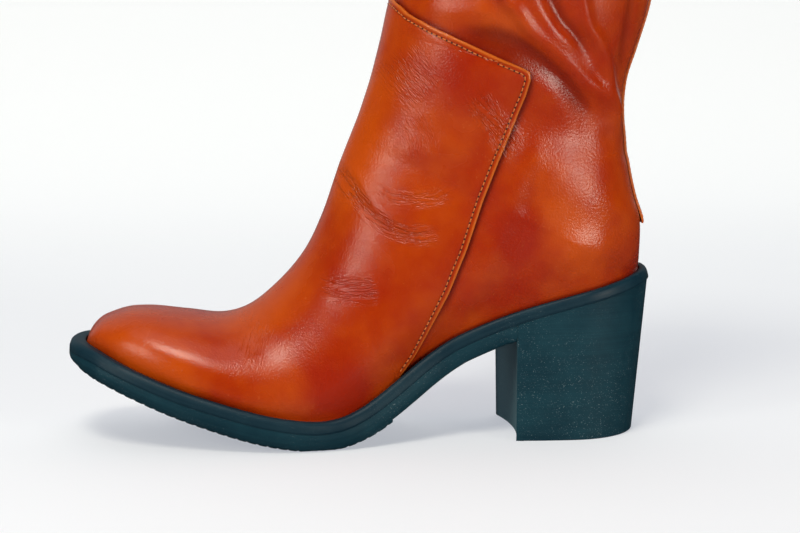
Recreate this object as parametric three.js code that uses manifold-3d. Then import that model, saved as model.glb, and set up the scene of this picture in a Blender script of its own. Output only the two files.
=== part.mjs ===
// A left calf boot on a block heel, in millimetres.
// The toe points to -X, the outer side faces -Y, +Z is up and the boot stands on Z = 0.
import * as THREE from "three";
import { mergeVertices } from "three/addons/utils/BufferGeometryUtils.js";
import Module from "manifold-3d";

const wasm = await Module();
wasm.setup();

// Driving sizes of the last and the sole
const soleLength = 246.3;
const shaftOverhang = 4.0;
const ballWidth = 87.8;
const seatWidth = 60.8;
const toeRise = 29.9;
const heelRise = 58.7;
const footHeight = 66.5;
const shaftHeight = 146.2;
const shaftWidth = 90;

// Layers of the sole unit
const gap = 0.3;
const midsoleDepth = 4.9;
const outsoleDepth = 6.9;
const treadStep = 0.9;
const outsoleEdgeRound = 4.6;
const toeThinning = 0.76;
const thinEnds = [0.05, 0.38];
const floorTrim = 0.5;
const rimLedge = 7.0;
const recessDepth = 2.5;
const toeRoundLength = 45;
const heelRoundLength = 32;

// Heel block
const breastSetback = 61.4;
const breastHollow = 4.2;
const breastSkew = 0.05;
const heelTaper = 0.086;
const heelEdgeRound = 0.8;
const heelCorner = 2.5;
const heelSteps = 13;
const breastSteps = 8;

// Leather
const wall = 2.2;
const panelThickness = 1.2;
const stripThickness = 1.0;
const stripWidth = 15;
const sideSwell = 1.2;
const insoleThickness = 3;
const insoleClearance = 1.5;

// Worked out from the sizes above
const toeX = -(soleLength + shaftOverhang) / 2;
const panelCover = gap + panelThickness;
const ballRim = midsoleDepth + outsoleDepth + gap + treadStep - floorTrim;
const seatTop = ballRim + heelRise;

// Rim of the sole from the side: at is a share of the length from the toe,
// toe and heel are shares of the rises at the two ends.
const soleLine = [
  { at: 0.0, toe: 1.0, heel: 0 },
  { at: 0.027, toe: 0.983, heel: 0 },
  { at: 0.051, toe: 0.93, heel: 0 },
  { at: 0.074, toe: 0.846, heel: 0 },
  { at: 0.124, toe: 0.669, heel: 0 },
  { at: 0.19, toe: 0.452, heel: 0 },
  { at: 0.255, toe: 0.281, heel: 0 },
  { at: 0.321, toe: 0.13, heel: 0 },
  { at: 0.371, toe: 0.045, heel: 0 },
  { at: 0.42, toe: 0, heel: 0 },
  { at: 0.454, toe: 0, heel: 0.015 },
  { at: 0.488, toe: 0, heel: 0.068 },
  { at: 0.522, toe: 0, heel: 0.157 },
  { at: 0.556, toe: 0, heel: 0.262 },
  { at: 0.591, toe: 0, heel: 0.375 },
  { at: 0.625, toe: 0, heel: 0.475 },
  { at: 0.659, toe: 0, heel: 0.559 },
  { at: 0.726, toe: 0, heel: 0.678 },
  { at: 0.793, toe: 0, heel: 0.772 },
  { at: 0.862, toe: 0, heel: 0.85 },
  { at: 0.933, toe: 0, heel: 0.927 },
  { at: 1.0, toe: 0, heel: 1.0 },
];

// Outline of the sole from above, before its two ends are rounded.
// outer and inner are shares of the width there, bend moves both, ledge is a share of rimLedge.
const outline = [
  { at: 0.0, outer: 0.41, inner: 0.41, bend: 0.034, ledge: 1.0 },
  { at: 0.092, outer: 0.425, inner: 0.412, bend: 0.028, ledge: 0.82 },
  { at: 0.152, outer: 0.436, inner: 0.423, bend: 0.022, ledge: 0.7 },
  { at: 0.213, outer: 0.459, inner: 0.461, bend: 0.013, ledge: 0.63 },
  { at: 0.274, outer: 0.482, inner: 0.495, bend: 0.006, ledge: 0.62 },
  { at: 0.334, outer: 0.49, inner: 0.51, bend: 0, ledge: 0.62 },
  { at: 0.395, outer: 0.484, inner: 0.476, bend: 0, ledge: 0.62 },
  { at: 0.456, outer: 0.453, inner: 0.396, bend: 0, ledge: 0.62 },
  { at: 0.496, outer: 0.44, inner: 0.372, bend: 0, ledge: 0.6 },
  { at: 0.577, outer: 0.456, inner: 0.377, bend: 0, ledge: 0.58 },
  { at: 0.658, outer: 0.477, inner: 0.403, bend: 0, ledge: 0.55 },
  { at: 0.747, outer: 0.485, inner: 0.444, bend: 0, ledge: 0.5 },
  { at: 0.82, outer: 0.501, inner: 0.485, bend: 0, ledge: 0.48 },
  { at: 0.9, outer: 0.498, inner: 0.498, bend: 0, ledge: 0.47 },
  { at: 1.0, outer: 0.493, inner: 0.493, bend: 0, ledge: 0.47 },
];

// Sections of the upper from the toe to the collar, each in a plane from the front line to the
// feather edge or the back line. front and rear are shares of the sole's length. up is the height
// of the front line: 0 to 1 climbs the foot, 1 to 2 the ankle, 2 to 3 the shaft. back is a share
// of the height behind, above the seat. ridge moves the front line inwards.
const sectionLines = [
  { front: 0.038, rear: 0.0356, up: 0.027, back: 0, ridge: 0.034 },
  { front: 0.0465, rear: 0.0408, up: 0.084, back: 0, ridge: 0.034 },
  { front: 0.0585, rear: 0.0514, up: 0.141, back: 0, ridge: 0.034 },
  { front: 0.0755, rear: 0.0675, up: 0.197, back: 0, ridge: 0.034 },
  { front: 0.101, rear: 0.0938, up: 0.264, back: 0, ridge: 0.034 },
  { front: 0.128, rear: 0.128, up: 0.312, back: 0, ridge: 0.034 },
  { front: 0.199, rear: 0.213, up: 0.388, back: 0, ridge: 0.034 },
  { front: 0.2636, rear: 0.302, up: 0.441, back: 0, ridge: 0.034 },
  { front: 0.3102, rear: 0.387, up: 0.545, back: 0, ridge: 0.034 },
  { front: 0.362, rear: 0.472, up: 0.742, back: 0, ridge: 0.028 },
  { front: 0.41, rear: 0.561, up: 0.978, back: 0, ridge: 0.022 },
  { front: 0.4412, rear: 0.65, up: 1.244, back: 0, ridge: 0.017 },
  { front: 0.4598, rear: 0.739, up: 1.467, back: 0, ridge: 0.011 },
  { front: 0.4713, rear: 0.828, up: 1.612, back: 0, ridge: 0.006 },
  { front: 0.479, rear: 0.909, up: 1.697, back: 0, ridge: 0 },
  { front: 0.4845, rear: 0.963, up: 1.756, back: 0, ridge: 0 },
  { front: 0.4895, rear: 0.9867, up: 1.8075, back: 0, ridge: 0 },
  { front: 0.4955, rear: 0.9893, up: 1.87, back: 0.046, ridge: 0 },
  { front: 0.504, rear: 0.989, up: 1.961, back: 0.088, ridge: 0 },
  { front: 0.5138, rear: 0.974, up: 2.032, back: 0.147, ridge: 0 },
  { front: 0.5248, rear: 0.962, up: 2.09, back: 0.211, ridge: 0 },
  { front: 0.5346, rear: 0.9545, up: 2.152, back: 0.272, ridge: 0 },
  { front: 0.5436, rear: 0.95, up: 2.213, back: 0.331, ridge: 0 },
  { front: 0.5506, rear: 0.954, up: 2.268, back: 0.389, ridge: 0 },
  { front: 0.5588, rear: 0.9705, up: 2.33, back: 0.446, ridge: 0 },
  { front: 0.5685, rear: 0.991, up: 2.412, back: 0.519, ridge: 0 },
  { front: 0.578, rear: 1.0035, up: 2.521, back: 0.601, ridge: 0 },
  { front: 0.588, rear: 1.0105, up: 2.685, back: 0.714, ridge: 0 },
  { front: 0.596, rear: 1.012, up: 2.85, back: 0.845, ridge: 0 },
  { front: 0.6005, rear: 1.0105, up: 3.0, back: 0.986, ridge: 0 },
];

// Widths of the same sections: outer and inner are half-widths, widest is where they are met on
// the way down, crown is how full the front is, closed tells an open section (0) from a ring (1).
const sectionWidths = [
  { outer: 0, inner: 0, widest: 0.5, crown: 2.2, closed: 0 },
  { outer: 0, inner: 0, widest: 0.6, crown: 2.4, closed: 0 },
  { outer: 0, inner: 0, widest: 0.65, crown: 2.4, closed: 0 },
  { outer: 0, inner: 0, widest: 0.7, crown: 2.4, closed: 0 },
  { outer: 0, inner: 0, widest: 0.72, crown: 2.45, closed: 0 },
  { outer: 0, inner: 0, widest: 0.74, crown: 2.45, closed: 0 },
  { outer: 0.421, inner: 0.427, widest: 0.78, crown: 2.35, closed: 0 },
  { outer: 0.45, inner: 0.47, widest: 0.8, crown: 2.2, closed: 0 },
  { outer: 0.45, inner: 0.45, widest: 0.78, crown: 2.0, closed: 0 },
  { outer: 0.433, inner: 0.399, widest: 0.74, crown: 1.9, closed: 0 },
  { outer: 0.403, inner: 0.363, widest: 0.7, crown: 1.85, closed: 0 },
  { outer: 0.382, inner: 0.354, widest: 0.66, crown: 1.9, closed: 0 },
  { outer: 0.371, inner: 0.355, widest: 0.62, crown: 1.95, closed: 0.05 },
  { outer: 0.367, inner: 0.356, widest: 0.58, crown: 2.0, closed: 0.2 },
  { outer: 0.367, inner: 0.361, widest: 0.56, crown: 2.0, closed: 0.5 },
  { outer: 0.37, inner: 0.367, widest: 0.55, crown: 2.0, closed: 0.8 },
  { outer: 0.374, inner: 0.371, widest: 0.55, crown: 2.0, closed: 1 },
  { outer: 0.378, inner: 0.376, widest: 0.55, crown: 2.0, closed: 1 },
  { outer: 0.382, inner: 0.38, widest: 0.55, crown: 2.0, closed: 1 },
  { outer: 0.389, inner: 0.389, widest: 0.55, crown: 2.0, closed: 1 },
  { outer: 0.396, inner: 0.396, widest: 0.54, crown: 2.0, closed: 1 },
  { outer: 0.404, inner: 0.404, widest: 0.54, crown: 2.0, closed: 1 },
  { outer: 0.414, inner: 0.414, widest: 0.54, crown: 2.0, closed: 1 },
  { outer: 0.427, inner: 0.427, widest: 0.53, crown: 2.0, closed: 1 },
  { outer: 0.44, inner: 0.44, widest: 0.53, crown: 2.05, closed: 1 },
  { outer: 0.456, inner: 0.456, widest: 0.52, crown: 2.05, closed: 1 },
  { outer: 0.471, inner: 0.471, widest: 0.52, crown: 2.1, closed: 1 },
  { outer: 0.487, inner: 0.487, widest: 0.52, crown: 2.1, closed: 1 },
  { outer: 0.497, inner: 0.497, widest: 0.52, crown: 2.1, closed: 1 },
  { outer: 0.5, inner: 0.5, widest: 0.52, crown: 2.1, closed: 1 },
];
const heelRow = 16;
const doubleRows = [11, 16];
const sidePoints = 6;
const seamHalf = 1.0;
const seamShare = 0.15;
const seatOverrun = 1.5;
const frontFullness = 2.2;
const rearFullness = 2.0;
const ankleRows = [9, 13];
const openBelow = { power: 2, fall: 3 };
const ringBelow = { power: 2.5, fall: 0.8 };

// Side edge and top edge of the front panel, seen from the side
const panelEdge = [
  { at: 0.5, up: -0.2 },
  { at: 0.551, up: 0.202 },
  { at: 0.583, up: 0.377 },
  { at: 0.6405, up: 0.785 },
  { at: 0.671, up: 1.068 },
  { at: 0.698, up: 1.407 },
  { at: 0.724, up: 1.697 },
  { at: 0.7485, up: 1.949 },
  { at: 0.766, up: 2.056 },
  { at: 0.773, up: 2.1 },
  { at: 0.7715, up: 2.124 },
  { at: 0.766, up: 2.129 },
  { at: 0.7315, up: 2.152 },
  { at: 0.693, up: 2.181 },
  { at: 0.6175, up: 2.243 },
  { at: 0.5795, up: 2.28 },
  { at: 0.549, up: 2.335 },
  { at: 0.52, up: 2.4 },
];
const stripBottom = 0.088;

// Places along the sole where its parts change
const ballAt = 0.42;
const waistAt = [0.45, 0.65];
const coverEnds = [0.556, 0.64];
const padEnd = 0.522;

const { lerp, clamp, smoothstep } = THREE.MathUtils;

// A smooth curve through a table's rows, read at one value of its key column.
function through(rows, key) {
  const names = Object.keys(rows[0]);
  const slope = (name, i) => {
    const before = rows[Math.max(i - 1, 0)];
    const after = rows[Math.min(i + 1, rows.length - 1)];
    return (after[name] - before[name]) / (after[key] - before[key]);
  };
  return (value) => {
    let i = 0;
    while (i < rows.length - 2 && value > rows[i + 1][key]) i += 1;
    const step = rows[i + 1][key] - rows[i][key];
    const t = clamp((value - rows[i][key]) / step, 0, 1);
    const read = {};
    for (const name of names) {
      const start = (2 * t * t * t - 3 * t * t + 1) * rows[i][name];
      const end = (3 * t * t - 2 * t * t * t) * rows[i + 1][name];
      const leave = (t * t * t - 2 * t * t + t) * step * slope(name, i);
      const arrive = (t * t * t - t * t) * step * slope(name, i + 1);
      read[name] = start + end + leave + arrive;
    }
    return read;
  };
}

const soleLineAt = through(soleLine, "at");
const outlineAt = through(outline, "at");
const sections = sectionLines.map((row, i) => ({ row: i, ...row, ...sectionWidths[i] }));
const sectionAt = through(sections, "row");

const alongX = (at) => toeX + soleLength * at;

function rimHeight(at) {
  const { toe, heel } = soleLineAt(at);
  return ballRim + toeRise * toe + heelRise * heel;
}

// Heights of the front line and of everything that follows it
function climb(at, up) {
  const foot = clamp(up, -1, 1) * footHeight;
  const ankle = clamp(up - 1, 0, 1) * heelRise;
  const leg = Math.max(up - 2, 0) * shaftHeight;
  return rimHeight(Math.min(at, ballAt)) + foot + ankle + leg;
}

// The direction straight down through the sole, square to its rim
function soleDown(at) {
  const step = 0.004;
  const low = clamp(at - step, 0, 1);
  const high = clamp(at + step, 0, 1);
  const run = alongX(high) - alongX(low);
  const climbed = rimHeight(high) - rimHeight(low);
  return new THREE.Vector3(climbed, 0, -run).normalize();
}

// Rounding of an end of the sole, from 0 at its tip to 1
function endRound(distance, length, fullness) {
  const share = clamp(1 - distance / length, 0, 1);
  return Math.pow(1 - Math.pow(share, fullness), 1 / fullness);
}

function widthAt(at) {
  return lerp(ballWidth, seatWidth, smoothstep(at, ...waistAt));
}

// One side of the outline from above: side is -1 for the outer side, +1 for the inner side
function sideY(side, at) {
  const row = outlineAt(at);
  const toe = endRound(soleLength * at, toeRoundLength, frontFullness);
  const heel = endRound(soleLength * (1 - at), heelRoundLength, rearFullness);
  const share = side < 0 ? row.outer : row.inner;
  return widthAt(at) * (row.bend + side * share * toe * heel);
}

// Stations of the sole, closer together towards its round ends
function stations(from, to, count) {
  const share = (i) => (1 - Math.cos((Math.PI * i) / count)) / 2;
  return Array.from({ length: count + 1 }, (_, i) => lerp(from, to, share(i)));
}

// The outline as points with outward directions: down one side, the end, and back up the other
function outlinePoints(ats) {
  const sides = [-1, 1].map((side) => ats.map((at) => new THREE.Vector2(alongX(at), sideY(side, at))));
  const loop = [...sides[0], ...sides[1].reverse()];
  return loop.map((point, i) => {
    const before = loop[(i + loop.length - 1) % loop.length];
    const after = loop[(i + 1) % loop.length];
    const along = after.clone().sub(before).normalize();
    const at = ats[i < ats.length ? i : loop.length - 1 - i];
    return { at, point, out: new THREE.Vector2(along.y, -along.x) };
  });
}

const tip = 0.0006;
const [soleSteps, featherSteps, insoleSteps] = [42, 120, 40];
const soleStations = stations(tip, 1 - tip, soleSteps);
const featherLoop = outlinePoints(stations(tip, 1 - tip, featherSteps));

// Distance from the bend line to an edge that is set in from the outline by a given amount
function insetHalf(side, at, inset) {
  const half = featherLoop.length / 2;
  const run = side < 0 ? featherLoop.slice(0, half) : featherLoop.slice(half).reverse();
  const x = alongX(at);
  const moved = run.map((place) => place.point.clone().addScaledVector(place.out, -inset(place.at)));
  const bend = widthAt(at) * outlineAt(at).bend;
  for (let i = 1; i < moved.length; i += 1) {
    if (moved[i - 1].x <= x && moved[i].x >= x) {
      const share = (x - moved[i - 1].x) / Math.max(moved[i].x - moved[i - 1].x, 1e-6);
      return Math.max(side * (lerp(moved[i - 1].y, moved[i].y, share) - bend), seamHalf);
    }
  }
  return seamHalf;
}

const ledgeAt = (at) => rimLedge * outlineAt(at).ledge;
const coverAt = (at) => panelCover * (1 - smoothstep(at, ...coverEnds));
const featherInset = (at) => ledgeAt(at) + coverAt(at);

function manifoldOf(coordinates, corners) {
  const vertProperties = new Float32Array(coordinates);
  const triVerts = new Uint32Array(corners);
  return new wasm.Manifold(new wasm.Mesh({ numProp: 3, vertProperties, triVerts }));
}

// A closed solid from shared points and triangles, with its faces turned outwards
function solidFrom(points, triangles) {
  let volume = 0;
  for (const [a, b, c] of triangles) {
    volume += points[a].dot(new THREE.Vector3().crossVectors(points[b], points[c]));
  }
  const faces = volume < 0 ? triangles.map(([a, b, c]) => [a, c, b]) : triangles;
  return manifoldOf(points.flatMap((point) => point.toArray()), faces.flat());
}

// A solid through closed rings of equally many points, capped at both ends
function loft(rings) {
  const count = rings[0].length;
  const points = rings.flat();
  const triangles = [];
  for (let r = 0; r < rings.length - 1; r += 1) {
    for (let i = 0; i < count; i += 1) {
      const next = (i + 1) % count;
      const [a, b, c, d] = [r * count + i, r * count + next, (r + 1) * count + next, (r + 1) * count + i];
      triangles.push([a, b, c], [a, c, d]);
    }
  }
  for (const r of [0, rings.length - 1]) {
    const middle = rings[r].reduce((sum, point) => sum.add(point), new THREE.Vector3()).divideScalar(count);
    points.push(middle);
    for (let i = 0; i < count; i += 1) {
      const pair = [r * count + i, r * count + ((i + 1) % count)];
      triangles.push([...(r === 0 ? pair.reverse() : pair), points.length - 1]);
    }
  }
  return solidFrom(points, triangles);
}

// A solid from a three.js geometry
function solidOf(geometry) {
  const bare = geometry.index ? geometry.toNonIndexed() : geometry.clone();
  bare.deleteAttribute("normal");
  bare.deleteAttribute("uv");
  const merged = mergeVertices(bare, 1e-4);
  return manifoldOf(merged.attributes.position.array, merged.index.array);
}

// The body of a cut solid, without slivers left beside the cut
function largest(solid) {
  const bodies = solid.decompose();
  return bodies.reduce((best, body) => (body.volume() > best.volume() ? body : best));
}

// A box between two corners
function block(low, high) {
  const geometry = new THREE.BoxGeometry(...high.clone().sub(low).toArray());
  geometry.translate(...low.clone().add(high).multiplyScalar(0.5).toArray());
  return solidOf(geometry);
}

// A slab bent along the sole: rows run from its top edge over the rim and down the wall,
// each with an inset from the outline and a depth below the rim.
function bentSlab(ats, rows) {
  const loop = outlinePoints(ats);
  const half = loop.length / 2;
  const points = [];
  for (const { at, point, out } of loop) {
    for (const { inset, depth } of rows(at)) {
      const place = point.clone().addScaledVector(out, -inset);
      const there = (place.x - toeX) / soleLength;
      const edge = new THREE.Vector3(place.x, place.y, rimHeight(there));
      points.push(edge.addScaledVector(soleDown(clamp(there, 0, 1)), depth));
    }
  }
  const count = rows(ats[0]).length;
  const id = (i, row) => (i % loop.length) * count + row;
  const triangles = [];
  for (let i = 0; i < loop.length; i += 1) {
    for (let row = 0; row < count - 1; row += 1) {
      const [a, b, c, d] = [id(i, row), id(i, row + 1), id(i + 1, row + 1), id(i + 1, row)];
      triangles.push([a, b, c], [a, c, d]);
    }
  }
  for (let i = 0; i < half - 1; i += 1) {
    const across = loop.length - 1 - i;
    for (const [row, flip] of [[0, false], [count - 1, true]]) {
      const [a, b, c, d] = [id(i, row), id(i + 1, row), id(across - 1, row), id(across, row)];
      if (flip) triangles.push([a, c, b], [a, d, c]);
      else triangles.push([a, b, c], [a, c, d]);
    }
  }
  return solidFrom(points, triangles);
}

// One section of the upper as a run of points from the outer feather edge over the front line
// to the inner feather edge. Each end goes straight down into the recess of the midsole.
function sectionPoints(row) {
  const section = sectionAt(row);
  const open = row < heelRow;
  const down = soleDown(clamp(section.rear, 0, 1));
  const front = new THREE.Vector3(alongX(section.front), 0, climb(section.front, section.up));
  const rear = new THREE.Vector3(alongX(section.rear), 0, rimHeight(clamp(section.rear, 0, 1)));
  rear.z += Math.max(section.back, 0) * (footHeight + shaftHeight);
  const width = lerp(ballWidth, shaftWidth, smoothstep(row, ...ankleRows));
  const bend = open ? widthAt(section.rear) * outlineAt(section.rear).bend : 0;
  const ridge = section.ridge * ballWidth;
  const low = lerp(openBelow.power, ringBelow.power, section.closed);
  const lowFall = lerp(openBelow.fall, ringBelow.fall, section.closed);
  const sides = [-1, 1].map((side) => {
    const share = side < 0 ? section.outer : section.inner;
    const feather = open ? insetHalf(side, section.rear, featherInset) : seamHalf;
    const half = Math.max(share * width, feather + sideSwell);
    const points = [];
    const place = (way, out) => {
      const point = front.clone().lerp(rear, way);
      point.y = lerp(ridge, bend, way) + side * out;
      points.push(point);
    };
    for (let i = 0; i <= sidePoints; i += 1) {
      const angle = (i / sidePoints) * (Math.PI / 2);
      const rise = Math.pow(Math.max(Math.cos(angle), 0), 2 / section.crown);
      place(section.widest * (1 - rise), half * Math.pow(Math.sin(angle), 2 / section.crown));
    }
    for (let i = 1; i <= sidePoints; i += 1) {
      const share = i / sidePoints;
      const fall = lerp(share, Math.sin(share * (Math.PI / 2)), section.closed);
      const narrowing = Math.pow(Math.max(1 - Math.pow(fall, low), 0), lowFall / 2);
      place(lerp(section.widest, 1, fall), feather + (half - feather) * narrowing);
    }
    return points;
  });
  const run = [...sides[0].reverse(), ...sides[1].slice(1)];
  const seated = 1 - smoothstep(row, heelRow, heelRow + 1);
  const seat = (recessDepth + seatOverrun) * seated;
  const [start, end] = [run[0], run[run.length - 1]];
  const ends = [[start, end], [end, start]].map(([near, far]) => {
    return near.clone().lerp(far, seamShare * (1 - seated)).addScaledVector(down, seat);
  });
  return { points: [ends[0], ...run, ends[1]], down, open };
}

function sectionRows(step) {
  const rows = [];
  for (let row = 0; row < sections.length - 1; row += 1) {
    rows.push(row);
    if (row >= doubleRows[0] && row < doubleRows[1]) rows.push(row + 0.5);
  }
  const kept = rows.filter((row, i) => i % step === 0 || row <= doubleRows[0]);
  return [...kept, sections.length - 1];
}

const fineGrid = sectionRows(1).map(sectionPoints);
const coarseGrid = sectionRows(2).map(sectionPoints);

// Outward directions of a grid of sections. Along the feather edge they stay level with the sole.
function directions(grid) {
  return grid.map(({ points, down, open }, r) => points.map((_, i) => {
    const before = grid[Math.max(r - 1, 0)].points[i];
    const after = grid[Math.min(r + 1, grid.length - 1)].points[i];
    const along = after.clone().sub(before);
    const around = points[Math.min(i + 1, points.length - 1)].clone().sub(points[Math.max(i - 1, 0)]);
    const out = new THREE.Vector3().crossVectors(along, around).normalize();
    const end = i < 2 || i > points.length - 3;
    if (end && open) out.addScaledVector(down, -out.dot(down)).normalize();
    return out;
  }));
}

// How far a cutting form runs on below the leather and above the collar
const belowSole = 8;
const belowFeather = 0.5;
const aboveCollar = 6;
const fullDepthWidth = 20;
const lowerShares = [0.7, 0.3];

// The upper's form moved outwards by a distance. A through form also runs on below the feather
// edge and above the collar, so that it cuts another one open at both ends.
function lastForm(grid, distance, isThrough) {
  const out = directions(grid);
  const turn = out[Math.floor(grid.length / 2)][sidePoints].y > 0 ? -1 : 1;
  const rings = grid.map(({ points, down, open }, r) => {
    const moved = points.map((point, i) => point.clone().addScaledVector(out[r][i], turn * distance));
    const [first, last] = [moved[0], moved[moved.length - 1]];
    const lower = lowerShares.map((share) => first.clone().lerp(last, share));
    if (isThrough && open) {
      const depth = belowSole * clamp((last.y - first.y) / fullDepthWidth, 0, 1);
      lower.forEach((point) => point.addScaledVector(down, depth));
      first.addScaledVector(down, belowFeather);
      last.addScaledVector(down, belowFeather);
    }
    return [...moved, ...lower];
  });
  if (isThrough) {
    const raise = new THREE.Vector3(0, 0, aboveCollar);
    rings.push(rings[rings.length - 1].map((point) => point.clone().add(raise)));
  }
  return loft(rings);
}

// What the midsole takes up below its rim, with a clearance, so that the leather stays out of it
function midsoleRoom() {
  const reach = 2 * rimLedge;
  const around = bentSlab(soleStations, () => [
    { inset: -reach, depth: -gap },
    { inset: -reach, depth: 5 * recessDepth },
  ]);
  const recess = bentSlab(soleStations, (at) => [
    { inset: ledgeAt(at) - 0.4 * gap, depth: -recessDepth },
    { inset: ledgeAt(at) - 0.4 * gap, depth: recessDepth - gap },
  ]);
  return around.subtract(recess);
}

function makeUpper() {
  const walls = lastForm(fineGrid, 0, false).subtract(lastForm(coarseGrid, -wall, true));
  return largest(walls.subtract(midsoleRoom()));
}

// The panel and the strip are cut between two larger forms of the upper
function overlay(thickness) {
  return lastForm(fineGrid, gap + thickness, false).subtract(lastForm(fineGrid, gap, true));
}

function makeFrontPanel() {
  const corners = panelEdge.map(({ at, up }) => new THREE.Vector2(alongX(at), climb(at, up)));
  const shape = new THREE.Shape(corners);
  const last = panelEdge[panelEdge.length - 1];
  shape.lineTo(alongX(-0.1), climb(last.at, last.up));
  shape.lineTo(alongX(-0.1), climb(panelEdge[0].at, panelEdge[0].up));
  const geometry = new THREE.ExtrudeGeometry(shape, { depth: 2 * ballWidth, bevelEnabled: false });
  geometry.translate(0, 0, -ballWidth);
  geometry.rotateX(Math.PI / 2);
  return largest(overlay(panelThickness).intersect(solidOf(geometry)).subtract(midsoleRoom()));
}

function makeBackStrip() {
  const low = seatTop + stripBottom * (footHeight + shaftHeight);
  const high = seatTop + 1.2 * (footHeight + shaftHeight);
  const reach = alongX(0.8);
  const half = stripWidth / 2;
  const box = block(new THREE.Vector3(reach, -half, low), new THREE.Vector3(alongX(1.2), half, high));
  return overlay(stripThickness).intersect(box);
}

function makeMidsole() {
  return bentSlab(soleStations, (at) => {
    const ledge = ledgeAt(at);
    return [
      { inset: ledge - gap, depth: recessDepth },
      { inset: ledge - gap, depth: 0 },
      { inset: 0.35 * ledge, depth: 0 },
      { inset: 0.08 * ledge, depth: 0.35 * midsoleDepth },
      { inset: 0, depth: 0.7 * midsoleDepth },
      { inset: 0, depth: midsoleDepth },
    ];
  });
}

const breastAt = 1 - breastSetback / soleLength;

// The hollow front of the heel block seen from above, from one side of the boot to the other
function breastX(y) {
  const reach = y / (0.5 * seatWidth);
  return alongX(breastAt) - breastSkew * y + breastHollow * (1 - reach * reach);
}

// The outline of the heel block at one height, set in by a given amount
function heelRing(height, inset) {
  const scale = 1 - heelTaper * (1 - height / heelRise);
  const pivot = alongX(breastAt);
  const turn = (i) => Math.sin((Math.PI * i) / (2 * heelSteps));
  const ats = Array.from({ length: heelSteps + 1 }, (_, i) => lerp(breastAt, 1 - tip, turn(i)));
  const edge = outlinePoints(ats).map(({ point, out }) => {
    const place = point.clone().addScaledVector(out, -inset);
    return new THREE.Vector3(pivot + (place.x - pivot) * scale, place.y * scale, height);
  });
  const [first, last] = [edge[0], edge[edge.length - 1]];
  const breast = [];
  for (let i = 0; i <= breastSteps; i += 1) {
    const y = lerp(last.y - 0.5 * heelCorner, first.y + 0.5 * heelCorner, i / breastSteps);
    breast.push(new THREE.Vector3(breastX(y) + inset, y, height));
  }
  first.x = breastX(first.y) + heelCorner;
  last.x = breastX(last.y) + heelCorner;
  return [...edge, ...breast];
}

function makeHeel() {
  const tall = 1.25 * seatTop;
  const block = loft([heelRing(0, heelEdgeRound), heelRing(heelEdgeRound, 0), heelRing(tall, 0)]);
  const reach = 0.5 * seatWidth;
  const above = bentSlab(soleStations, () => [
    { inset: -reach, depth: -heelRise },
    { inset: -reach, depth: midsoleDepth + gap },
  ]);
  return largest(block.subtract(above));
}

// Everything behind the front of the heel block, with a clearance
function behindBreast(clearance) {
  const half = ballWidth;
  const reach = 0.6 * seatWidth;
  const steps = 2 * breastSteps;
  const shape = new THREE.Shape();
  shape.moveTo(alongX(1.3), -half);
  shape.lineTo(alongX(1.3), half);
  for (let i = 0; i <= steps; i += 1) {
    const y = lerp(reach, -reach, i / steps);
    shape.lineTo(breastX(y) - clearance, y);
  }
  const geometry = new THREE.ExtrudeGeometry(shape, { depth: 2 * seatTop, bevelEnabled: false });
  return solidOf(geometry);
}

// Side of the outsole: down is a share of its depth, inset is a share of edgeRound
const outsoleSide = [
  { down: 0, inset: 0 },
  { down: 0.35, inset: 0.03 },
  { down: 0.66, inset: 0.2 },
  { down: 0.88, inset: 0.48 },
  { down: 1, inset: 1 },
];

function makeOutsole() {
  const stepRun = 0.0015;
  const clear = 0.004;
  const heelAt = breastAt + 0.08;
  const front = soleStations.filter((at) => at < padEnd - clear);
  const rear = soleStations.filter((at) => at > padEnd + clear && at < heelAt);
  const ats = [...front, padEnd, padEnd + stepRun, ...rear, heelAt];
  const slab = bentSlab(ats, (at) => {
    const top = midsoleDepth + gap;
    const pad = at <= padEnd ? treadStep : 0;
    const depth = outsoleDepth * lerp(toeThinning, 1, smoothstep(at, ...thinEnds));
    return outsoleSide.map(({ down, inset }) => {
      return { inset: inset * outsoleEdgeRound, depth: top + down * depth + (down === 1 ? pad : 0) };
    });
  });
  const low = new THREE.Vector3(alongX(-0.2), -ballWidth, -heelRise);
  const under = block(low, new THREE.Vector3(alongX(1.2), ballWidth, 0));
  return largest(slab.subtract(under).subtract(behindBreast(gap)));
}

function makeInsole() {
  const inset = (at) => featherInset(at) + wall + insoleClearance;
  return bentSlab(stations(tip, 1 - tip, insoleSteps), (at) => [
    { inset: inset(at), depth: recessDepth - gap - insoleThickness },
    { inset: inset(at), depth: recessDepth - gap },
  ]);
}

// Finishes
const leather = new THREE.MeshStandardMaterial({ color: 0xa8480f, roughness: 0.42, metalness: 0 });
const panelLeather = new THREE.MeshStandardMaterial({ color: 0xb04e14, roughness: 0.4, metalness: 0 });
const darkRubber = new THREE.MeshStandardMaterial({ color: 0x1b3038, roughness: 0.55, metalness: 0 });
const dustyRubber = new THREE.MeshStandardMaterial({ color: 0x24404a, roughness: 0.65, metalness: 0 });
const lining = new THREE.MeshStandardMaterial({ color: 0xc9a77c, roughness: 0.8, metalness: 0 });

// A named mesh from a solid
function piece(name, solid, material) {
  const { vertProperties, triVerts } = solid.getMesh();
  const geometry = new THREE.BufferGeometry();
  geometry.setAttribute("position", new THREE.BufferAttribute(new Float32Array(vertProperties), 3));
  geometry.setIndex(new THREE.BufferAttribute(new Uint32Array(triVerts), 1));
  geometry.computeVertexNormals();
  const mesh = new THREE.Mesh(geometry, material);
  mesh.name = name;
  return mesh;
}

const boot = new THREE.Group();
boot.add(
  piece("upper", makeUpper(), leather),
  piece("front_panel", makeFrontPanel(), panelLeather),
  piece("back_strip", makeBackStrip(), leather),
  piece("midsole", makeMidsole(), darkRubber),
  piece("outsole", makeOutsole(), dustyRubber),
  piece("heel", makeHeel(), dustyRubber),
  piece("insole", makeInsole(), lining),
);

export default boot;
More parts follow.
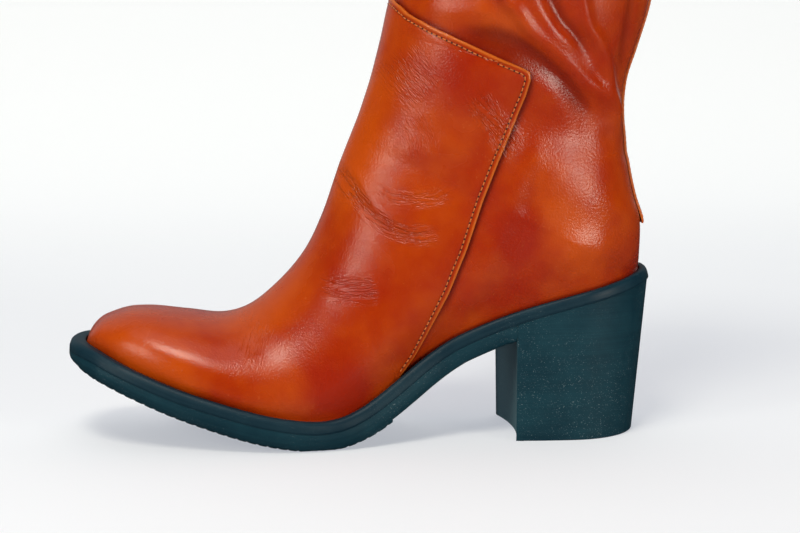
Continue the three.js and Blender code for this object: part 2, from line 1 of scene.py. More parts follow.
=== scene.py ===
"""A left leather boot on a block heel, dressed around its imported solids.

The toe points to -X, the outer side faces -Y and +Z is up. Sizes are in millimetres in the
classes below, and every mesh is written in metres.
"""
from __future__ import annotations

import logging
import math
from dataclasses import dataclass, field
from enum import Enum
from typing import Callable, Optional, Sequence, Union

import bmesh
import bpy
import numpy as np
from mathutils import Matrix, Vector
from mathutils.bvhtree import BVHTree

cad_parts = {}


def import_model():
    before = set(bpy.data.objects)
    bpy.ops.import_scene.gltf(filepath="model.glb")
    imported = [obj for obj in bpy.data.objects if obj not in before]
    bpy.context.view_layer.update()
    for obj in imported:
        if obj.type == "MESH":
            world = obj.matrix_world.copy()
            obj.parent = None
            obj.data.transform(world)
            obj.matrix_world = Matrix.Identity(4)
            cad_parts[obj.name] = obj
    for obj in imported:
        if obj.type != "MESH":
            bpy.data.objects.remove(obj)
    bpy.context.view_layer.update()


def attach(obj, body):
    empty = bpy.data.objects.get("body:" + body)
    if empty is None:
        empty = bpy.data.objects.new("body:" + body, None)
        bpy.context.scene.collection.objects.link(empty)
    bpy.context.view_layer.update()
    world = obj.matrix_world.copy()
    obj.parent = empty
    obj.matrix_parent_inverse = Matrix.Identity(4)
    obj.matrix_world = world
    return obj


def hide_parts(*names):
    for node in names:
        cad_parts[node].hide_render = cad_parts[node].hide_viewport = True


Array = np.ndarray
Triple = tuple[float, float, float]
Colour = Triple
Span = tuple[float, float]
Faces = list[list[int]]
MM = 0.001
TINY = 1e-9
# Distance in millimetres under which the points of stitches and needle holes become one.
FINE_WELD = 0.0001
WHITE = (1.0, 1.0, 1.0)
LOG = logging.getLogger("boot")


def smooth(value: Array, low: float, high: float) -> Array:
    """Smooth step of a value from 0 at low to 1 at high."""
    share = np.clip((np.asarray(value, float) - low) / (high - low), 0, 1)
    return share * share * (3 - 2 * share)


def mix(start: Array, end: Array, share: Array) -> Array:
    """Straight mix of two values."""
    return start + (end - start) * share


def within(value: Array, rise: Span, fall: Span) -> Array:
    """1 between a smooth rise and a smooth fall, and 0 outside them."""
    return smooth(value, *rise) * (1 - smooth(value, *fall))


def read_line(line: Array, run: Array, at: Array) -> Array:
    """Points of a line at given runs along it."""
    return np.stack([np.interp(at, run, column) for column in line.T], 1)


def unit(vectors: Array) -> Array:
    """Vectors at length one."""
    return vectors / np.maximum(np.linalg.norm(vectors, axis=-1, keepdims=True), TINY)


def point(x: Array, y: Array, z: Array) -> Array:
    """Points from their three coordinates."""
    return np.stack(np.broadcast_arrays(x, y, z), axis=-1).astype(float)


class Table:
    """A short table whose columns are read as smooth curves."""

    def __init__(self, names: str, rows: Sequence[Sequence[float]], key: str = "") -> None:
        """Take in the rows.

        Args:
            names: Column names, separated by spaces.
            rows: The table's rows.
            key: The column that the others are read by, or nothing for the row number.
        """
        self.columns = dict(zip(names.split(), np.array(rows, float).T))
        self.keys = self.columns[key] if key else np.arange(len(rows), dtype=float)
        self.places = self.keys

    def spaced(self, places: Array) -> Table:
        """The same table, with its curves led by places that lie unevenly along the form."""
        self.places = np.asarray(places, float)
        return self

    def read(self, name: str, value: Array) -> Array:
        """Read one column at values of the key.

        Args:
            name: The column.
            value: Values of the key.

        Returns:
            The column's values there.
        """
        keys, places, column = self.keys, self.places, self.columns[name]
        value = np.asarray(value, float)
        i = np.clip(np.searchsorted(keys, value) - 1, 0, len(keys) - 2)
        if places is keys:
            number = np.arange(len(keys))
            before = np.maximum(number - 1, 0)
            after = np.minimum(number + 1, len(keys) - 1)
            slope = (column[after] - column[before]) / (places[after] - places[before])
        else:
            slope = np.gradient(column, places)
        step = places[i + 1] - places[i]
        t = np.clip((value - keys[i]) / (keys[i + 1] - keys[i]), 0, 1)
        start = (2 * t**3 - 3 * t**2 + 1) * column[i] + (3 * t**2 - 2 * t**3) * column[i + 1]
        return start + step * ((t**3 - 2 * t**2 + t) * slope[i] + (t**3 - t**2) * slope[i + 1])


# The rim seen from the side: shares of the toe's rise and of the heel's rise along the sole.
SOLE_LINE = Table("at toe heel", [
    (0.0, 1.0, 0), (0.027, 0.983, 0), (0.051, 0.93, 0), (0.074, 0.846, 0), (0.124, 0.669, 0),
    (0.19, 0.452, 0), (0.255, 0.281, 0), (0.321, 0.13, 0), (0.371, 0.045, 0), (0.42, 0, 0),
    (0.454, 0, 0.015), (0.488, 0, 0.068), (0.522, 0, 0.157), (0.556, 0, 0.262), (0.591, 0, 0.375),
    (0.625, 0, 0.475), (0.659, 0, 0.559), (0.726, 0, 0.678), (0.793, 0, 0.772), (0.862, 0, 0.85),
    (0.933, 0, 0.927), (1.0, 0, 1.0),
], "at")

# The sole seen from above: its half widths and its bend as shares of the width, and its ledge.
OUTLINE = Table("at outer inner bend ledge", [
    (0.0, 0.41, 0.41, 0.034, 1.0), (0.092, 0.425, 0.412, 0.028, 0.82),
    (0.152, 0.436, 0.423, 0.022, 0.7), (0.213, 0.459, 0.461, 0.013, 0.63),
    (0.274, 0.482, 0.495, 0.006, 0.62), (0.334, 0.49, 0.51, 0, 0.62),
    (0.395, 0.484, 0.476, 0, 0.62), (0.456, 0.453, 0.396, 0, 0.62), (0.496, 0.44, 0.372, 0, 0.6),
    (0.577, 0.456, 0.377, 0, 0.58), (0.658, 0.477, 0.403, 0, 0.55), (0.747, 0.485, 0.444, 0, 0.5),
    (0.82, 0.501, 0.485, 0, 0.48), (0.9, 0.498, 0.498, 0, 0.47), (1.0, 0.493, 0.493, 0, 0.47),
], "at")

# Sections of the leather from the toe to the collar, each from its front line to its rear line.
SECTIONS = Table("front rear up back outer inner widest crown closed ridge", [
    (0.038, 0.0356, 0.027, 0, 0, 0, 0.5, 2.2, 0, 0.034),
    (0.0465, 0.0408, 0.084, 0, 0, 0, 0.6, 2.4, 0, 0.034),
    (0.0585, 0.0514, 0.141, 0, 0, 0, 0.65, 2.4, 0, 0.034),
    (0.0755, 0.0675, 0.197, 0, 0, 0, 0.7, 2.4, 0, 0.034),
    (0.101, 0.0938, 0.264, 0, 0, 0, 0.72, 2.45, 0, 0.034),
    (0.128, 0.128, 0.312, 0, 0, 0, 0.74, 2.45, 0, 0.034),
    (0.199, 0.213, 0.388, 0, 0.421, 0.427, 0.78, 2.35, 0, 0.034),
    (0.2636, 0.302, 0.441, 0, 0.45, 0.47, 0.8, 2.2, 0, 0.034),
    (0.3102, 0.387, 0.545, 0, 0.45, 0.45, 0.78, 2.0, 0, 0.034),
    (0.362, 0.472, 0.742, 0, 0.433, 0.399, 0.74, 1.9, 0, 0.028),
    (0.41, 0.561, 0.978, 0, 0.403, 0.363, 0.7, 1.85, 0, 0.022),
    (0.4412, 0.65, 1.244, 0, 0.382, 0.354, 0.66, 1.9, 0, 0.017),
    (0.4598, 0.739, 1.467, 0, 0.371, 0.355, 0.62, 1.95, 0.05, 0.011),
    (0.4713, 0.828, 1.612, 0, 0.367, 0.356, 0.58, 2.0, 0.2, 0.006),
    (0.479, 0.909, 1.697, 0, 0.367, 0.361, 0.56, 2.0, 0.5, 0),
    (0.4845, 0.963, 1.756, 0, 0.37, 0.367, 0.55, 2.0, 0.8, 0),
    (0.4895, 0.9867, 1.8075, 0, 0.374, 0.371, 0.55, 2.0, 1, 0),
    (0.4955, 0.9893, 1.87, 0.046, 0.378, 0.376, 0.55, 2.0, 1, 0),
    (0.504, 0.989, 1.961, 0.088, 0.382, 0.38, 0.55, 2.0, 1, 0),
    (0.5138, 0.974, 2.032, 0.147, 0.389, 0.389, 0.55, 2.0, 1, 0),
    (0.5248, 0.962, 2.09, 0.211, 0.396, 0.396, 0.54, 2.0, 1, 0),
    (0.5346, 0.9545, 2.152, 0.272, 0.404, 0.404, 0.54, 2.0, 1, 0),
    (0.5436, 0.95, 2.213, 0.331, 0.414, 0.414, 0.54, 2.0, 1, 0),
    (0.5506, 0.954, 2.268, 0.389, 0.427, 0.427, 0.53, 2.0, 1, 0),
    (0.5588, 0.9705, 2.33, 0.446, 0.44, 0.44, 0.53, 2.05, 1, 0),
    (0.5685, 0.991, 2.412, 0.519, 0.456, 0.456, 0.52, 2.05, 1, 0),
    (0.578, 1.0035, 2.521, 0.601, 0.471, 0.471, 0.52, 2.1, 1, 0),
    (0.588, 1.0105, 2.685, 0.714, 0.487, 0.487, 0.52, 2.1, 1, 0),
    (0.596, 1.012, 2.85, 0.845, 0.497, 0.497, 0.52, 2.1, 1, 0),
    (0.6005, 1.0105, 3.0, 0.986, 0.5, 0.5, 0.52, 2.1, 1, 0),
])
# The section at the heel's end, under which the leather is open, and the topmost one.
HEEL_ROW = 16.0
TOP_ROW = 29.0
SECTION_ROWS = np.arange(TOP_ROW + 1)
ROW_MARGIN = 0.001
# Sections over which the widths pass from those of the ball to those of the shaft.
WIDTH_BLEND = (9, 13)

# The four borders of a grid.
BORDERS = (np.s_[:, 0], np.s_[:, -1], np.s_[0, :], np.s_[-1, :])

# The raw edge of the front panel, seen from the side.
PANEL_EDGE = Table("at up", [
    (0.5, -0.2), (0.551, 0.202), (0.583, 0.377), (0.6405, 0.785), (0.671, 1.068), (0.698, 1.407),
    (0.724, 1.697), (0.7485, 1.949), (0.766, 2.056), (0.773, 2.1), (0.7715, 2.124), (0.766, 2.129),
    (0.7315, 2.152), (0.693, 2.181), (0.6175, 2.243), (0.5795, 2.28), (0.549, 2.335), (0.52, 2.4),
])
# Turns at the feather edge and at the leather's end down in the recess.
FEATHER_TURN = 2.0
SEAT_TURN = 2.2


@dataclass(frozen=True)
class Last:
    """The form that the leather and the sole unit follow."""

    sole_length: float = 246.3
    shaft_overhang: float = 4.0
    ball_width: float = 87.8
    seat_width: float = 60.8
    toe_rise: float = 29.9
    heel_rise: float = 58.7
    foot_height: float = 66.5
    shaft_height: float = 146.2
    shaft_width: float = 90.0
    ball_rim: float = 12.5
    rim_ledge: float = 7.0
    recess_depth: float = 2.5
    panel_cover: float = 1.5
    side_swell: float = 1.2
    toe_round: float = 45.0
    heel_round: float = 32.0
    tip: float = 0.0006
    floor_at: float = 0.42
    waist: Span = (0.45, 0.65)
    cover_end: Span = (0.556, 0.64)
    toe_fullness: float = 2.2
    heel_fullness: float = 2.0
    low_curve: Span = (2.0, 2.5)
    fall_curve: Span = (3.0, 0.8)
    seat_clear: float = 0.1
    feather_clear: float = 0.3
    probe: float = 0.004
    edge_stations: int = 240
    fine_rows: int = 40
    fine_turns: int = 500

    @property
    def seat_depth(self) -> float:
        """How far the leather goes down into the recess."""
        return self.recess_depth - self.seat_clear

    @property
    def toe_x(self) -> float:
        """Where the sole starts."""
        return -(self.sole_length + self.shaft_overhang) / 2

    def along_x(self, at: Array) -> Array:
        """Place along X of a share of the sole's length."""
        return self.toe_x + self.sole_length * np.asarray(at, float)

    def share_of(self, x: Array) -> Array:
        """Share of the sole's length at a place along X."""
        return (x - self.toe_x) / self.sole_length

    def rim_height(self, at: Array) -> Array:
        """Height of the rim at a share of the length."""
        rises = self.toe_rise * SOLE_LINE.read("toe", at) + self.heel_rise * SOLE_LINE.read("heel", at)
        return self.ball_rim + rises

    def climb(self, at: Array, up: Array) -> Array:
        """Height of a place that is given by its climb.

        Args:
            at: Share of the sole's length.
            up: The climb, over the foot up to 1, the ankle up to 2 and the shaft up to 3.

        Returns:
            The height.
        """
        up = np.asarray(up, float)
        foot = np.clip(up, -1, 1) * self.foot_height
        ankle = np.clip(up - 1, 0, 1) * self.heel_rise
        leg = np.maximum(up - 2, 0) * self.shaft_height
        return self.rim_height(np.minimum(at, self.floor_at)) + foot + ankle + leg

    def front_height(self, rows: Array) -> Array:
        """Height of the front line, read between the heights at the whole section numbers."""
        known = self.climb(SECTIONS.columns["front"], SECTIONS.columns["up"])
        return Table("height", known[:, None]).spaced(SECTIONS.places).read("height", rows)

    def section_places(self) -> Array:
        """Place of each section along the form.

        Returns:
            The mean run of the front and rear lines up to each section.
        """
        ends = self.surface(SECTION_ROWS, np.tile([0.0, 2.0], (len(SECTION_ROWS), 1)))
        steps = np.linalg.norm(np.diff(ends, axis=0), axis=-1).mean(axis=1)
        return np.concatenate([[0], np.cumsum(steps)])

    def sole_down(self, at: Array) -> Array:
        """Directions straight down through the sole.

        Args:
            at: Shares of the sole's length.

        Returns:
            The directions.
        """
        low = np.clip(np.asarray(at) - self.probe, 0, 1)
        high = np.clip(np.asarray(at) + self.probe, 0, 1)
        run = self.along_x(high) - self.along_x(low)
        rise = self.rim_height(high) - self.rim_height(low)
        return unit(point(rise, 0, -run))

    def end_round(self, distance: Array, length: float, fullness: float) -> Array:
        """Rounding of an end of the sole, from 0 at its tip to 1."""
        share = np.clip(1 - distance / length, 0, 1)
        return (1 - share**fullness) ** (1 / fullness)

    def width_at(self, at: Array) -> Array:
        """Full width that the outline's shares refer to."""
        return mix(self.ball_width, self.seat_width, smooth(at, *self.waist))

    def side_y(self, side: int, at: Array) -> Array:
        """One side of the sole from above.

        Args:
            side: -1 for the outer side and 1 for the inner one.
            at: Shares of the sole's length.

        Returns:
            Places across the boot.
        """
        toe = self.end_round(self.sole_length * at, self.toe_round, self.toe_fullness)
        heel = self.end_round(self.sole_length * (1 - at), self.heel_round, self.heel_fullness)
        share = OUTLINE.read("outer" if side < 0 else "inner", at)
        return self.width_at(at) * (OUTLINE.read("bend", at) + side * share * toe * heel)

    def stations(self, count: int, spread: int = 0) -> Array:
        """Stations of the sole, closer together towards its round ends.

        Args:
            count: How many follow the round ends.
            spread: How many more lie evenly along the length.

        Returns:
            Shares of the length in order.
        """
        ends = (1 - np.cos(np.pi * np.arange(count + 1) / count)) / 2
        even = np.linspace(0, 1, spread + 2)[1:-1]
        return mix(self.tip, 1 - self.tip, np.sort(np.concatenate([ends, even])))

    def outline(self, ats: Array) -> tuple[Array, Array, Array]:
        """The sole from above: down the outer side and back up the inner side.

        Args:
            ats: Stations.

        Returns:
            The station, the point and the outward direction of each place of the loop.
        """
        x = self.along_x(ats)
        outer = np.stack([x, self.side_y(-1, ats)], 1)
        inner = np.stack([x, self.side_y(1, ats)], 1)
        loop = np.concatenate([outer, inner[::-1]])
        along = unit(np.roll(loop, -1, 0) - np.roll(loop, 1, 0))
        return np.concatenate([ats, ats[::-1]]), loop, np.stack([along[:, 1], -along[:, 0]], 1)

    def ledge_at(self, at: Array) -> Array:
        """Width of the rim that stands beyond the leather."""
        return self.rim_ledge * OUTLINE.read("ledge", at)

    def feather_inset(self, at: Array) -> Array:
        """How far the lowest edge of the leather lies inside the sole's outline."""
        return self.ledge_at(at) + self.panel_cover * (1 - smooth(at, *self.cover_end))

    def inset_half(self, side: int, at: Array) -> Array:
        """Half width of the feather edge on one side.

        Args:
            side: -1 for the outer side and 1 for the inner one.
            at: Shares of the sole's length.

        Returns:
            The half widths.
        """
        ats, loop, out = self.outline(self.stations(self.edge_stations))
        half = len(ats) // 2
        pick = slice(0, half) if side < 0 else slice(None, half - 1, -1)
        moved = loop[pick] - out[pick] * self.feather_inset(ats[pick])[:, None]
        bend = self.width_at(at) * OUTLINE.read("bend", at)
        reach = np.interp(self.along_x(at), moved[:, 0], moved[:, 1], left=0.0, right=0.0)
        return np.maximum(side * (reach - bend), 0)

    def halves(self, rows: Array, feathers: Sequence[Array]) -> list[Array]:
        """Half widths of the leather on both sides.

        Args:
            rows: Section numbers.
            feathers: Half width of the feather edge on both sides.

        Returns:
            The half width on the outer side and on the inner side.
        """
        rear = SECTIONS.columns["rear"]
        width = mix(self.ball_width, self.shaft_width, smooth(SECTION_ROWS, *WIDTH_BLEND))
        whole = []
        for side, name in ((-1, "outer"), (1, "inner")):
            foot = np.where(SECTION_ROWS < HEEL_ROW, self.inset_half(side, rear), 0)
            whole.append(np.maximum(SECTIONS.columns[name] * width, foot + self.side_swell))
        table = Table("outer inner", np.stack(whole, 1)).spaced(SECTIONS.places)
        return [np.maximum(table.read(name, rows), feather + self.feather_clear)
                for name, feather in zip(table.columns, feathers)]

    def surface(self, rows: Array, turns: Array) -> Array:
        """Points of the leather's outer face before its folds.

        Args:
            rows: Section numbers, one for each row of turns.
            turns: From -2 at the outer feather edge over 0 at the front line to 2 at the inner
                one, as rows by columns. From 2 to 2.2 the leather goes down into the recess.

        Returns:
            The points, as rows by columns by three.
        """
        read = {name: SECTIONS.read(name, rows) for name in SECTIONS.columns}
        below = np.clip(read["rear"], 0, 1)
        is_open = rows < HEEL_ROW
        seat = np.where(rows < HEEL_ROW + ROW_MARGIN, self.seat_depth, 0.0)
        front = point(self.along_x(read["front"]), 0, self.front_height(rows))
        rear = point(self.along_x(read["rear"]), 0, self.rim_height(below))
        rear[:, 2] += np.maximum(read["back"], 0) * (self.foot_height + self.shaft_height)
        bend = np.where(is_open, self.width_at(read["rear"]) * OUTLINE.read("bend", read["rear"]), 0)
        feathers = [np.where(is_open, self.inset_half(side, read["rear"]), 0) for side in (-1, 1)]
        halves = self.halves(rows, feathers)
        is_outer = turns < 0
        feather = np.where(is_outer, feathers[0][:, None], feathers[1][:, None])
        half = np.where(is_outer, halves[0][:, None], halves[1][:, None])
        size = np.minimum(np.abs(turns), FEATHER_TURN)
        seated = np.clip((np.abs(turns) - FEATHER_TURN) / (SEAT_TURN - FEATHER_TURN), 0, 1)
        angle = np.where(size <= 1, size, size - 1) * (np.pi / 2)
        rise = np.maximum(np.cos(angle), 0)
        run = np.maximum(np.sin(angle), 0)
        widest, crown, closed = (read[name][:, None] for name in ("widest", "crown", "closed"))
        low = mix(*self.low_curve, closed)
        fall = mix(*self.fall_curve, closed)
        upper_way = widest * (1 - rise ** (2 / crown))
        lower_way = widest + (1 - widest) * run ** (2 / low)
        way = np.where(size <= 1, upper_way, lower_way)
        out = np.where(size <= 1, half * run ** (2 / crown), feather + (half - feather) * rise**fall)
        points = mix(front[:, None, :], rear[:, None, :], way[..., None])
        ridge = (read["ridge"] * self.ball_width)[:, None]
        points[..., 1] = mix(ridge, bend[:, None], way) + np.where(is_outer, -1, 1) * out
        return points + self.sole_down(below)[:, None, :] * (seat[:, None] * seated)[..., None]

    def closed_toe(self, grid: Array) -> Array:
        """Lead the first row down into the recess, so that the toe ends in the sole.

        Args:
            grid: Points of the leather.

        Returns:
            The grid with its first row moved.
        """
        grid = grid.copy()
        there = np.clip(self.share_of(grid[0, :, 0]), 0, 1)
        above = grid[0, :, 2] - self.rim_height(there) + self.seat_depth
        grid[0] += self.sole_down(there) * above[:, None]
        return grid

    def turn_of(self, rows: Array, way: Array) -> Array:
        """Turns at which sections are crossed.

        Args:
            rows: Section numbers.
            way: Share of the way from the front line to the rear line, one for each row.

        Returns:
            The turns.
        """
        widest, crown = SECTIONS.read("widest", rows), SECTIONS.read("crown", rows)
        low = mix(*self.low_curve, SECTIONS.read("closed", rows))
        above = np.arccos(np.clip(1 - way / widest, 0, 1) ** (crown / 2))
        below = np.arcsin(np.clip((way - widest) / (1 - widest), 0, 1) ** (low / 2))
        return np.where(way <= widest, above, np.pi / 2 + below) / (np.pi / 2)

    def even_rows(self, first: float, last: float, count: int, looks: Sequence[float]) -> Array:
        """Section numbers at even distances over the leather.

        Args:
            first: First section number.
            last: Last section number.
            count: How many rows.
            looks: Turns at which the distance is measured.

        Returns:
            The section numbers.
        """
        least_step = 0.02
        fine = np.linspace(first, last, int((last - first) * self.fine_rows) + 1)
        places = self.surface(fine, np.tile(np.array(looks, float), (len(fine), 1)))
        steps = np.linalg.norm(np.diff(places, axis=0), axis=-1).max(axis=1)
        run = np.concatenate([[0], np.cumsum(steps + least_step)])
        found = np.interp(np.linspace(0, run[-1], count), run, fine)
        if first < HEEL_ROW < last:
            found[np.argmin(np.abs(found - HEEL_ROW))] = HEEL_ROW
        return found

    def even_turns(self, rows: Array, limit: Array, shares: Array) -> Array:
        """Turns at given shares of the length of each section, for both sides.

        Args:
            rows: Section numbers.
            limit: The largest turn of each row.
            shares: Shares of the length from the front line, from 0 to 1, one set or one per row.

        Returns:
            Signed turns from the outer end to the inner end, with one column at the front line.
        """
        denser = 1.3
        fine = np.linspace(0, 1, self.fine_turns) ** denser
        shares = np.broadcast_to(shares, (len(rows), np.shape(shares)[-1]))
        sides = []
        for side in (-1, 1):
            places = self.surface(rows, side * np.maximum(limit[:, None] * fine, 1e-6))
            steps = np.linalg.norm(np.diff(places, axis=1), axis=-1)
            run = np.concatenate([np.zeros((len(rows), 1)), np.cumsum(steps, axis=1)], axis=1)
            found = [np.interp(share * length[-1], length, top * fine)
                     for share, length, top in zip(shares, run, limit)]
            sides.append(side * np.array(found))
        return np.concatenate([sides[0][:, ::-1], sides[1][:, 1:]], axis=1)

    def slab(self, ats: Array, insets: Array, depths: Array) -> Array:
        """A loop of profiles bent along the sole.

        Args:
            ats: Stations.
            insets: Distance inwards from the outline, as stations by profile points.
            depths: Depth below the rim, as stations by profile points.

        Returns:
            Points, as loop places by profile points by three.
        """
        _, loop, out = self.outline(ats)
        inset = np.concatenate([insets, insets[::-1]])
        depth = np.concatenate([depths, depths[::-1]])
        flat = loop[:, None, :] - out[:, None, :] * inset[..., None]
        there = self.share_of(flat[..., 0])
        edge = point(flat[..., 0], flat[..., 1], self.rim_height(there))
        return edge + self.sole_down(np.clip(there, 0, 1)) * depth[..., None]


def normals_of(grid: Array) -> Array:
    """Outward directions of a grid of the leather.

    Args:
        grid: Points of the leather, with the outer side in its first columns.

    Returns:
        The direction at each point.
    """
    along, around = np.gradient(grid, axis=0), np.gradient(grid, axis=1)
    out = unit(np.cross(along, around))
    middle = (grid.shape[0] // 2, grid.shape[1] // 4)
    return out if out[middle][1] < 0 else -out


def quads_of(rows: int, columns: int, wrap_rows: bool = False, wrap_columns: bool = False) -> Faces:
    """Faces of a grid of points.

    Args:
        rows: How many rows of points.
        columns: How many columns.
        wrap_rows: True where the last row joins the first one.
        wrap_columns: True where the last column joins the first one.

    Returns:
        Four point numbers for each face.
    """
    r = np.arange(rows if wrap_rows else rows - 1)[:, None]
    c = np.arange(columns if wrap_columns else columns - 1)[None, :]
    r2, c2 = (r + 1) % rows, (c + 1) % columns
    corners = [r * columns + c, r * columns + c2, r2 * columns + c2, r2 * columns + c]
    return np.stack(corners, -1).reshape(-1, 4).tolist()


def relax(grid: Array, weight: Array, rounds: int) -> Array:
    """Soften a grid where it is asked.

    Args:
        grid: Points of the leather.
        weight: How far each point follows its neighbours, from 0 to 1.
        rounds: How often.

    Returns:
        The softened points.
    """
    grid = grid.copy()
    for _ in range(rounds):
        around = (grid[:-2, 1:-1] + grid[2:, 1:-1] + grid[1:-1, :-2] + grid[1:-1, 2:]) / 4
        grid[1:-1, 1:-1] += (around - grid[1:-1, 1:-1]) * weight[1:-1, 1:-1, None]
    return grid


def distance_to(places: Array, line: Array) -> tuple[Array, Array]:
    """Distance from places to a line of straight pieces.

    Args:
        places: Places, as rows of coordinates.
        line: Corners of the line.

    Returns:
        The distance and the share of the line's length at which it is met.
    """
    best = np.full(len(places), np.inf)
    share = np.zeros(len(places))
    lengths = np.linalg.norm(np.diff(line, axis=0), axis=1)
    total = max(lengths.sum(), TINY)
    start = 0.0
    for a, b, length in zip(line[:-1], line[1:], lengths):
        along = np.clip(((places - a) @ (b - a)) / max(length**2, TINY), 0, 1)
        gap = np.linalg.norm(places - a - along[:, None] * (b - a), axis=1)
        closer = gap < best
        best[closer] = gap[closer]
        share[closer] = (start + along[closer] * length) / total
        start += length
    return best, share


def curve_through(corners: Sequence[Sequence[float]], steps: int = 6) -> Array:
    """A smooth line through corners.

    Args:
        corners: Points of the line.
        steps: How many pieces follow each other between two corners.

    Returns:
        The points of the finer line.
    """
    corners = np.array(corners, float)
    table = Table(" ".join(f"c{i}" for i in range(corners.shape[1])), corners)
    at = np.linspace(0, len(corners) - 1, (len(corners) - 1) * steps + 1)
    return np.stack([table.read(name, at) for name in table.columns], 1)


class Side(Enum):
    """Which side of the boot a fold lies on."""

    OUTER = -1
    INNER = 1
    BOTH = 0


@dataclass(frozen=True)
class Fold:
    """A soft ridge or trough in the leather, seen from the side."""

    line: Sequence[Sequence[float]]
    height: float
    width: float
    side: Side = Side.OUTER
    fade: float = 0.22
    side_blend: Span = (1.0, 9.0)

    def lift(self, grid: Array, front: float) -> Array:
        """How far the leather stands out along this fold.

        Args:
            grid: Points of the leather.
            front: Place across the boot that parts its two sides.

        Returns:
            The lift of each point.
        """
        flat = grid.reshape(-1, 3)[:, [0, 2]]
        lift = np.zeros(len(flat))
        mask = np.ones(len(flat))
        if self.side is not Side.BOTH:
            mask = smooth(self.side.value * (grid.reshape(-1, 3)[:, 1] - front), *self.side_blend)
        line = curve_through(self.line)
        reach = 3.2 * self.width
        near = (flat > line.min(0) - reach).all(1) & (flat < line.max(0) + reach).all(1) & (mask > 0)
        if near.any():
            gap, along = distance_to(flat[near], line)
            ends = smooth(along, 0, self.fade) * smooth(1 - along, 0, self.fade)
            lift[near] = self.height * np.exp(-((gap / self.width) ** 2)) * ends
        return (lift * mask).reshape(grid.shape[:2])


# Folds of the shaft on its outer side, down into the ankle.
SHAFT_FOLDS = (
    Fold([(24, 174), (34, 172.4), (44, 170), (54, 167), (62, 164.1), (71.3, 159.7), (79, 154.2),
          (84.4, 148.5), (89.3, 141.5), (95, 136), (102, 132)], -2.8, 6.6, fade=0.3),
    Fold([(44, 212), (49, 198), (55.2, 184.6), (59.3, 180.6), (64.2, 173), (71.2, 166.5),
          (78.2, 160.4), (83.2, 156.2), (88.5, 151), (93.8, 147.5), (99, 142.8), (103, 137.6),
          (106.5, 131)], 2.6, 3.5, fade=0.2),
    Fold([(52, 216), (57, 203), (62.9, 190.4), (67.8, 180.8), (75.7, 171.1), (83.1, 164.5),
          (88.1, 158.8)], 1.4, 3.4, fade=0.25),
    Fold([(66, 212), (68, 202), (70.1, 192.6), (76.8, 177.4), (83, 170.9), (89, 163), (93, 156)],
         -2.1, 3.5, fade=0.25),
    Fold([(76, 222), (80, 206), (83.9, 192.6), (87.9, 175.3), (92.5, 168.5), (96.3, 161.6),
          (98.4, 154.3), (100.2, 147.4), (102.8, 140), (104.5, 128), (105.6, 117.5)],
         2.3, 2.9, fade=0.22),
    Fold([(109, 206), (108.4, 190.5), (106.4, 172.4), (105.4, 160.3), (106, 150)], -1.5, 2.8),
    Fold([(60, 205), (72, 214), (88, 219), (104, 218)], -1.6, 5.5),
    Fold([(34, 238), (56, 230), (76, 232), (98, 240)], 1.3, 6.0),
    Fold([(30, 256), (48, 250), (70, 248), (92, 251)], -1.1, 6.5),
    Fold([(20, 186), (30, 180), (42, 179), (52, 182)], 0.8, 5.0),
)

# Folds of the shaft on its inner side.
INNER_FOLDS = (
    Fold([(30, 168), (44, 163), (58, 157), (72, 152), (86, 147), (98, 142)], -2.6, 5.0, Side.INNER),
    Fold([(44, 190), (58, 176), (72, 167), (86, 160), (97, 156)], 1.9, 3.4, Side.INNER),
    Fold([(62, 200), (74, 184), (86, 173), (98, 166)], -1.6, 3.0, Side.INNER),
    Fold([(82, 212), (88, 196), (93, 176), (98, 160), (101, 144), (104, 122)], 1.9, 2.8, Side.INNER),
    Fold([(34, 214), (52, 209), (72, 211), (94, 220)], -1.5, 6.0, Side.INNER),
    Fold([(76, 134), (62, 106), (51, 80), (42, 58)], 0.7, 6.0, Side.INNER),
)

# Shallow waves in the front panel.
ANKLE_FOLDS = (
    Fold([(-12, 118), (-8, 110), (-3, 102), (3.3, 94.5), (10.3, 90.3), (18, 88.6), (28, 89.5)], -0.75, 2.6),
    Fold([(-7, 119), (-3, 111), (3, 102), (9, 97), (18, 95)], 0.35, 2.0),
    Fold([(4, 108), (14, 103.4), (24, 102.8), (34, 105)], -0.4, 2.6),
    Fold([(-19, 67), (-8, 66.2), (3, 66.9)], -0.3, 3.4),
    Fold([(12, 128), (20, 124), (30, 124), (40, 128)], 0.5, 6.0),
    Fold([(-40, 56), (-46, 46), (-51, 38)], -0.35, 4.0),
)

# Shallow waves between the panel's edge and the heel.
COUNTER_FOLDS = (
    Fold([(72, 131.7), (59.8, 103), (49.6, 78.2), (41.4, 57.4), (35.2, 47)], 0.8, 4.5),
    Fold([(34.6, 58), (40.6, 54), (46, 52)], -0.4, 4.0),
    Fold([(58, 124), (64, 116), (66, 106), (64, 94)], -0.7, 5.5),
    Fold([(98, 132), (106, 124), (112, 116)], -0.5, 3.5),
)

# The soft waist above the ankle and the swell around the heel.
FORM_LINES = (
    Fold([(44, 140), (62, 136), (80, 131), (98, 128), (112, 127)], -3.2, 14.0, Side.BOTH, fade=0.35),
    Fold([(66, 80), (82, 80), (96, 79), (110, 79)], 1.9, 8.5, Side.BOTH, fade=0.35),
)

WORN_LINES = SHAFT_FOLDS + INNER_FOLDS + ANKLE_FOLDS + COUNTER_FOLDS
# Place across the boot, in millimetres, that parts its two sides.
SIDE_MIDDLE = 1.0

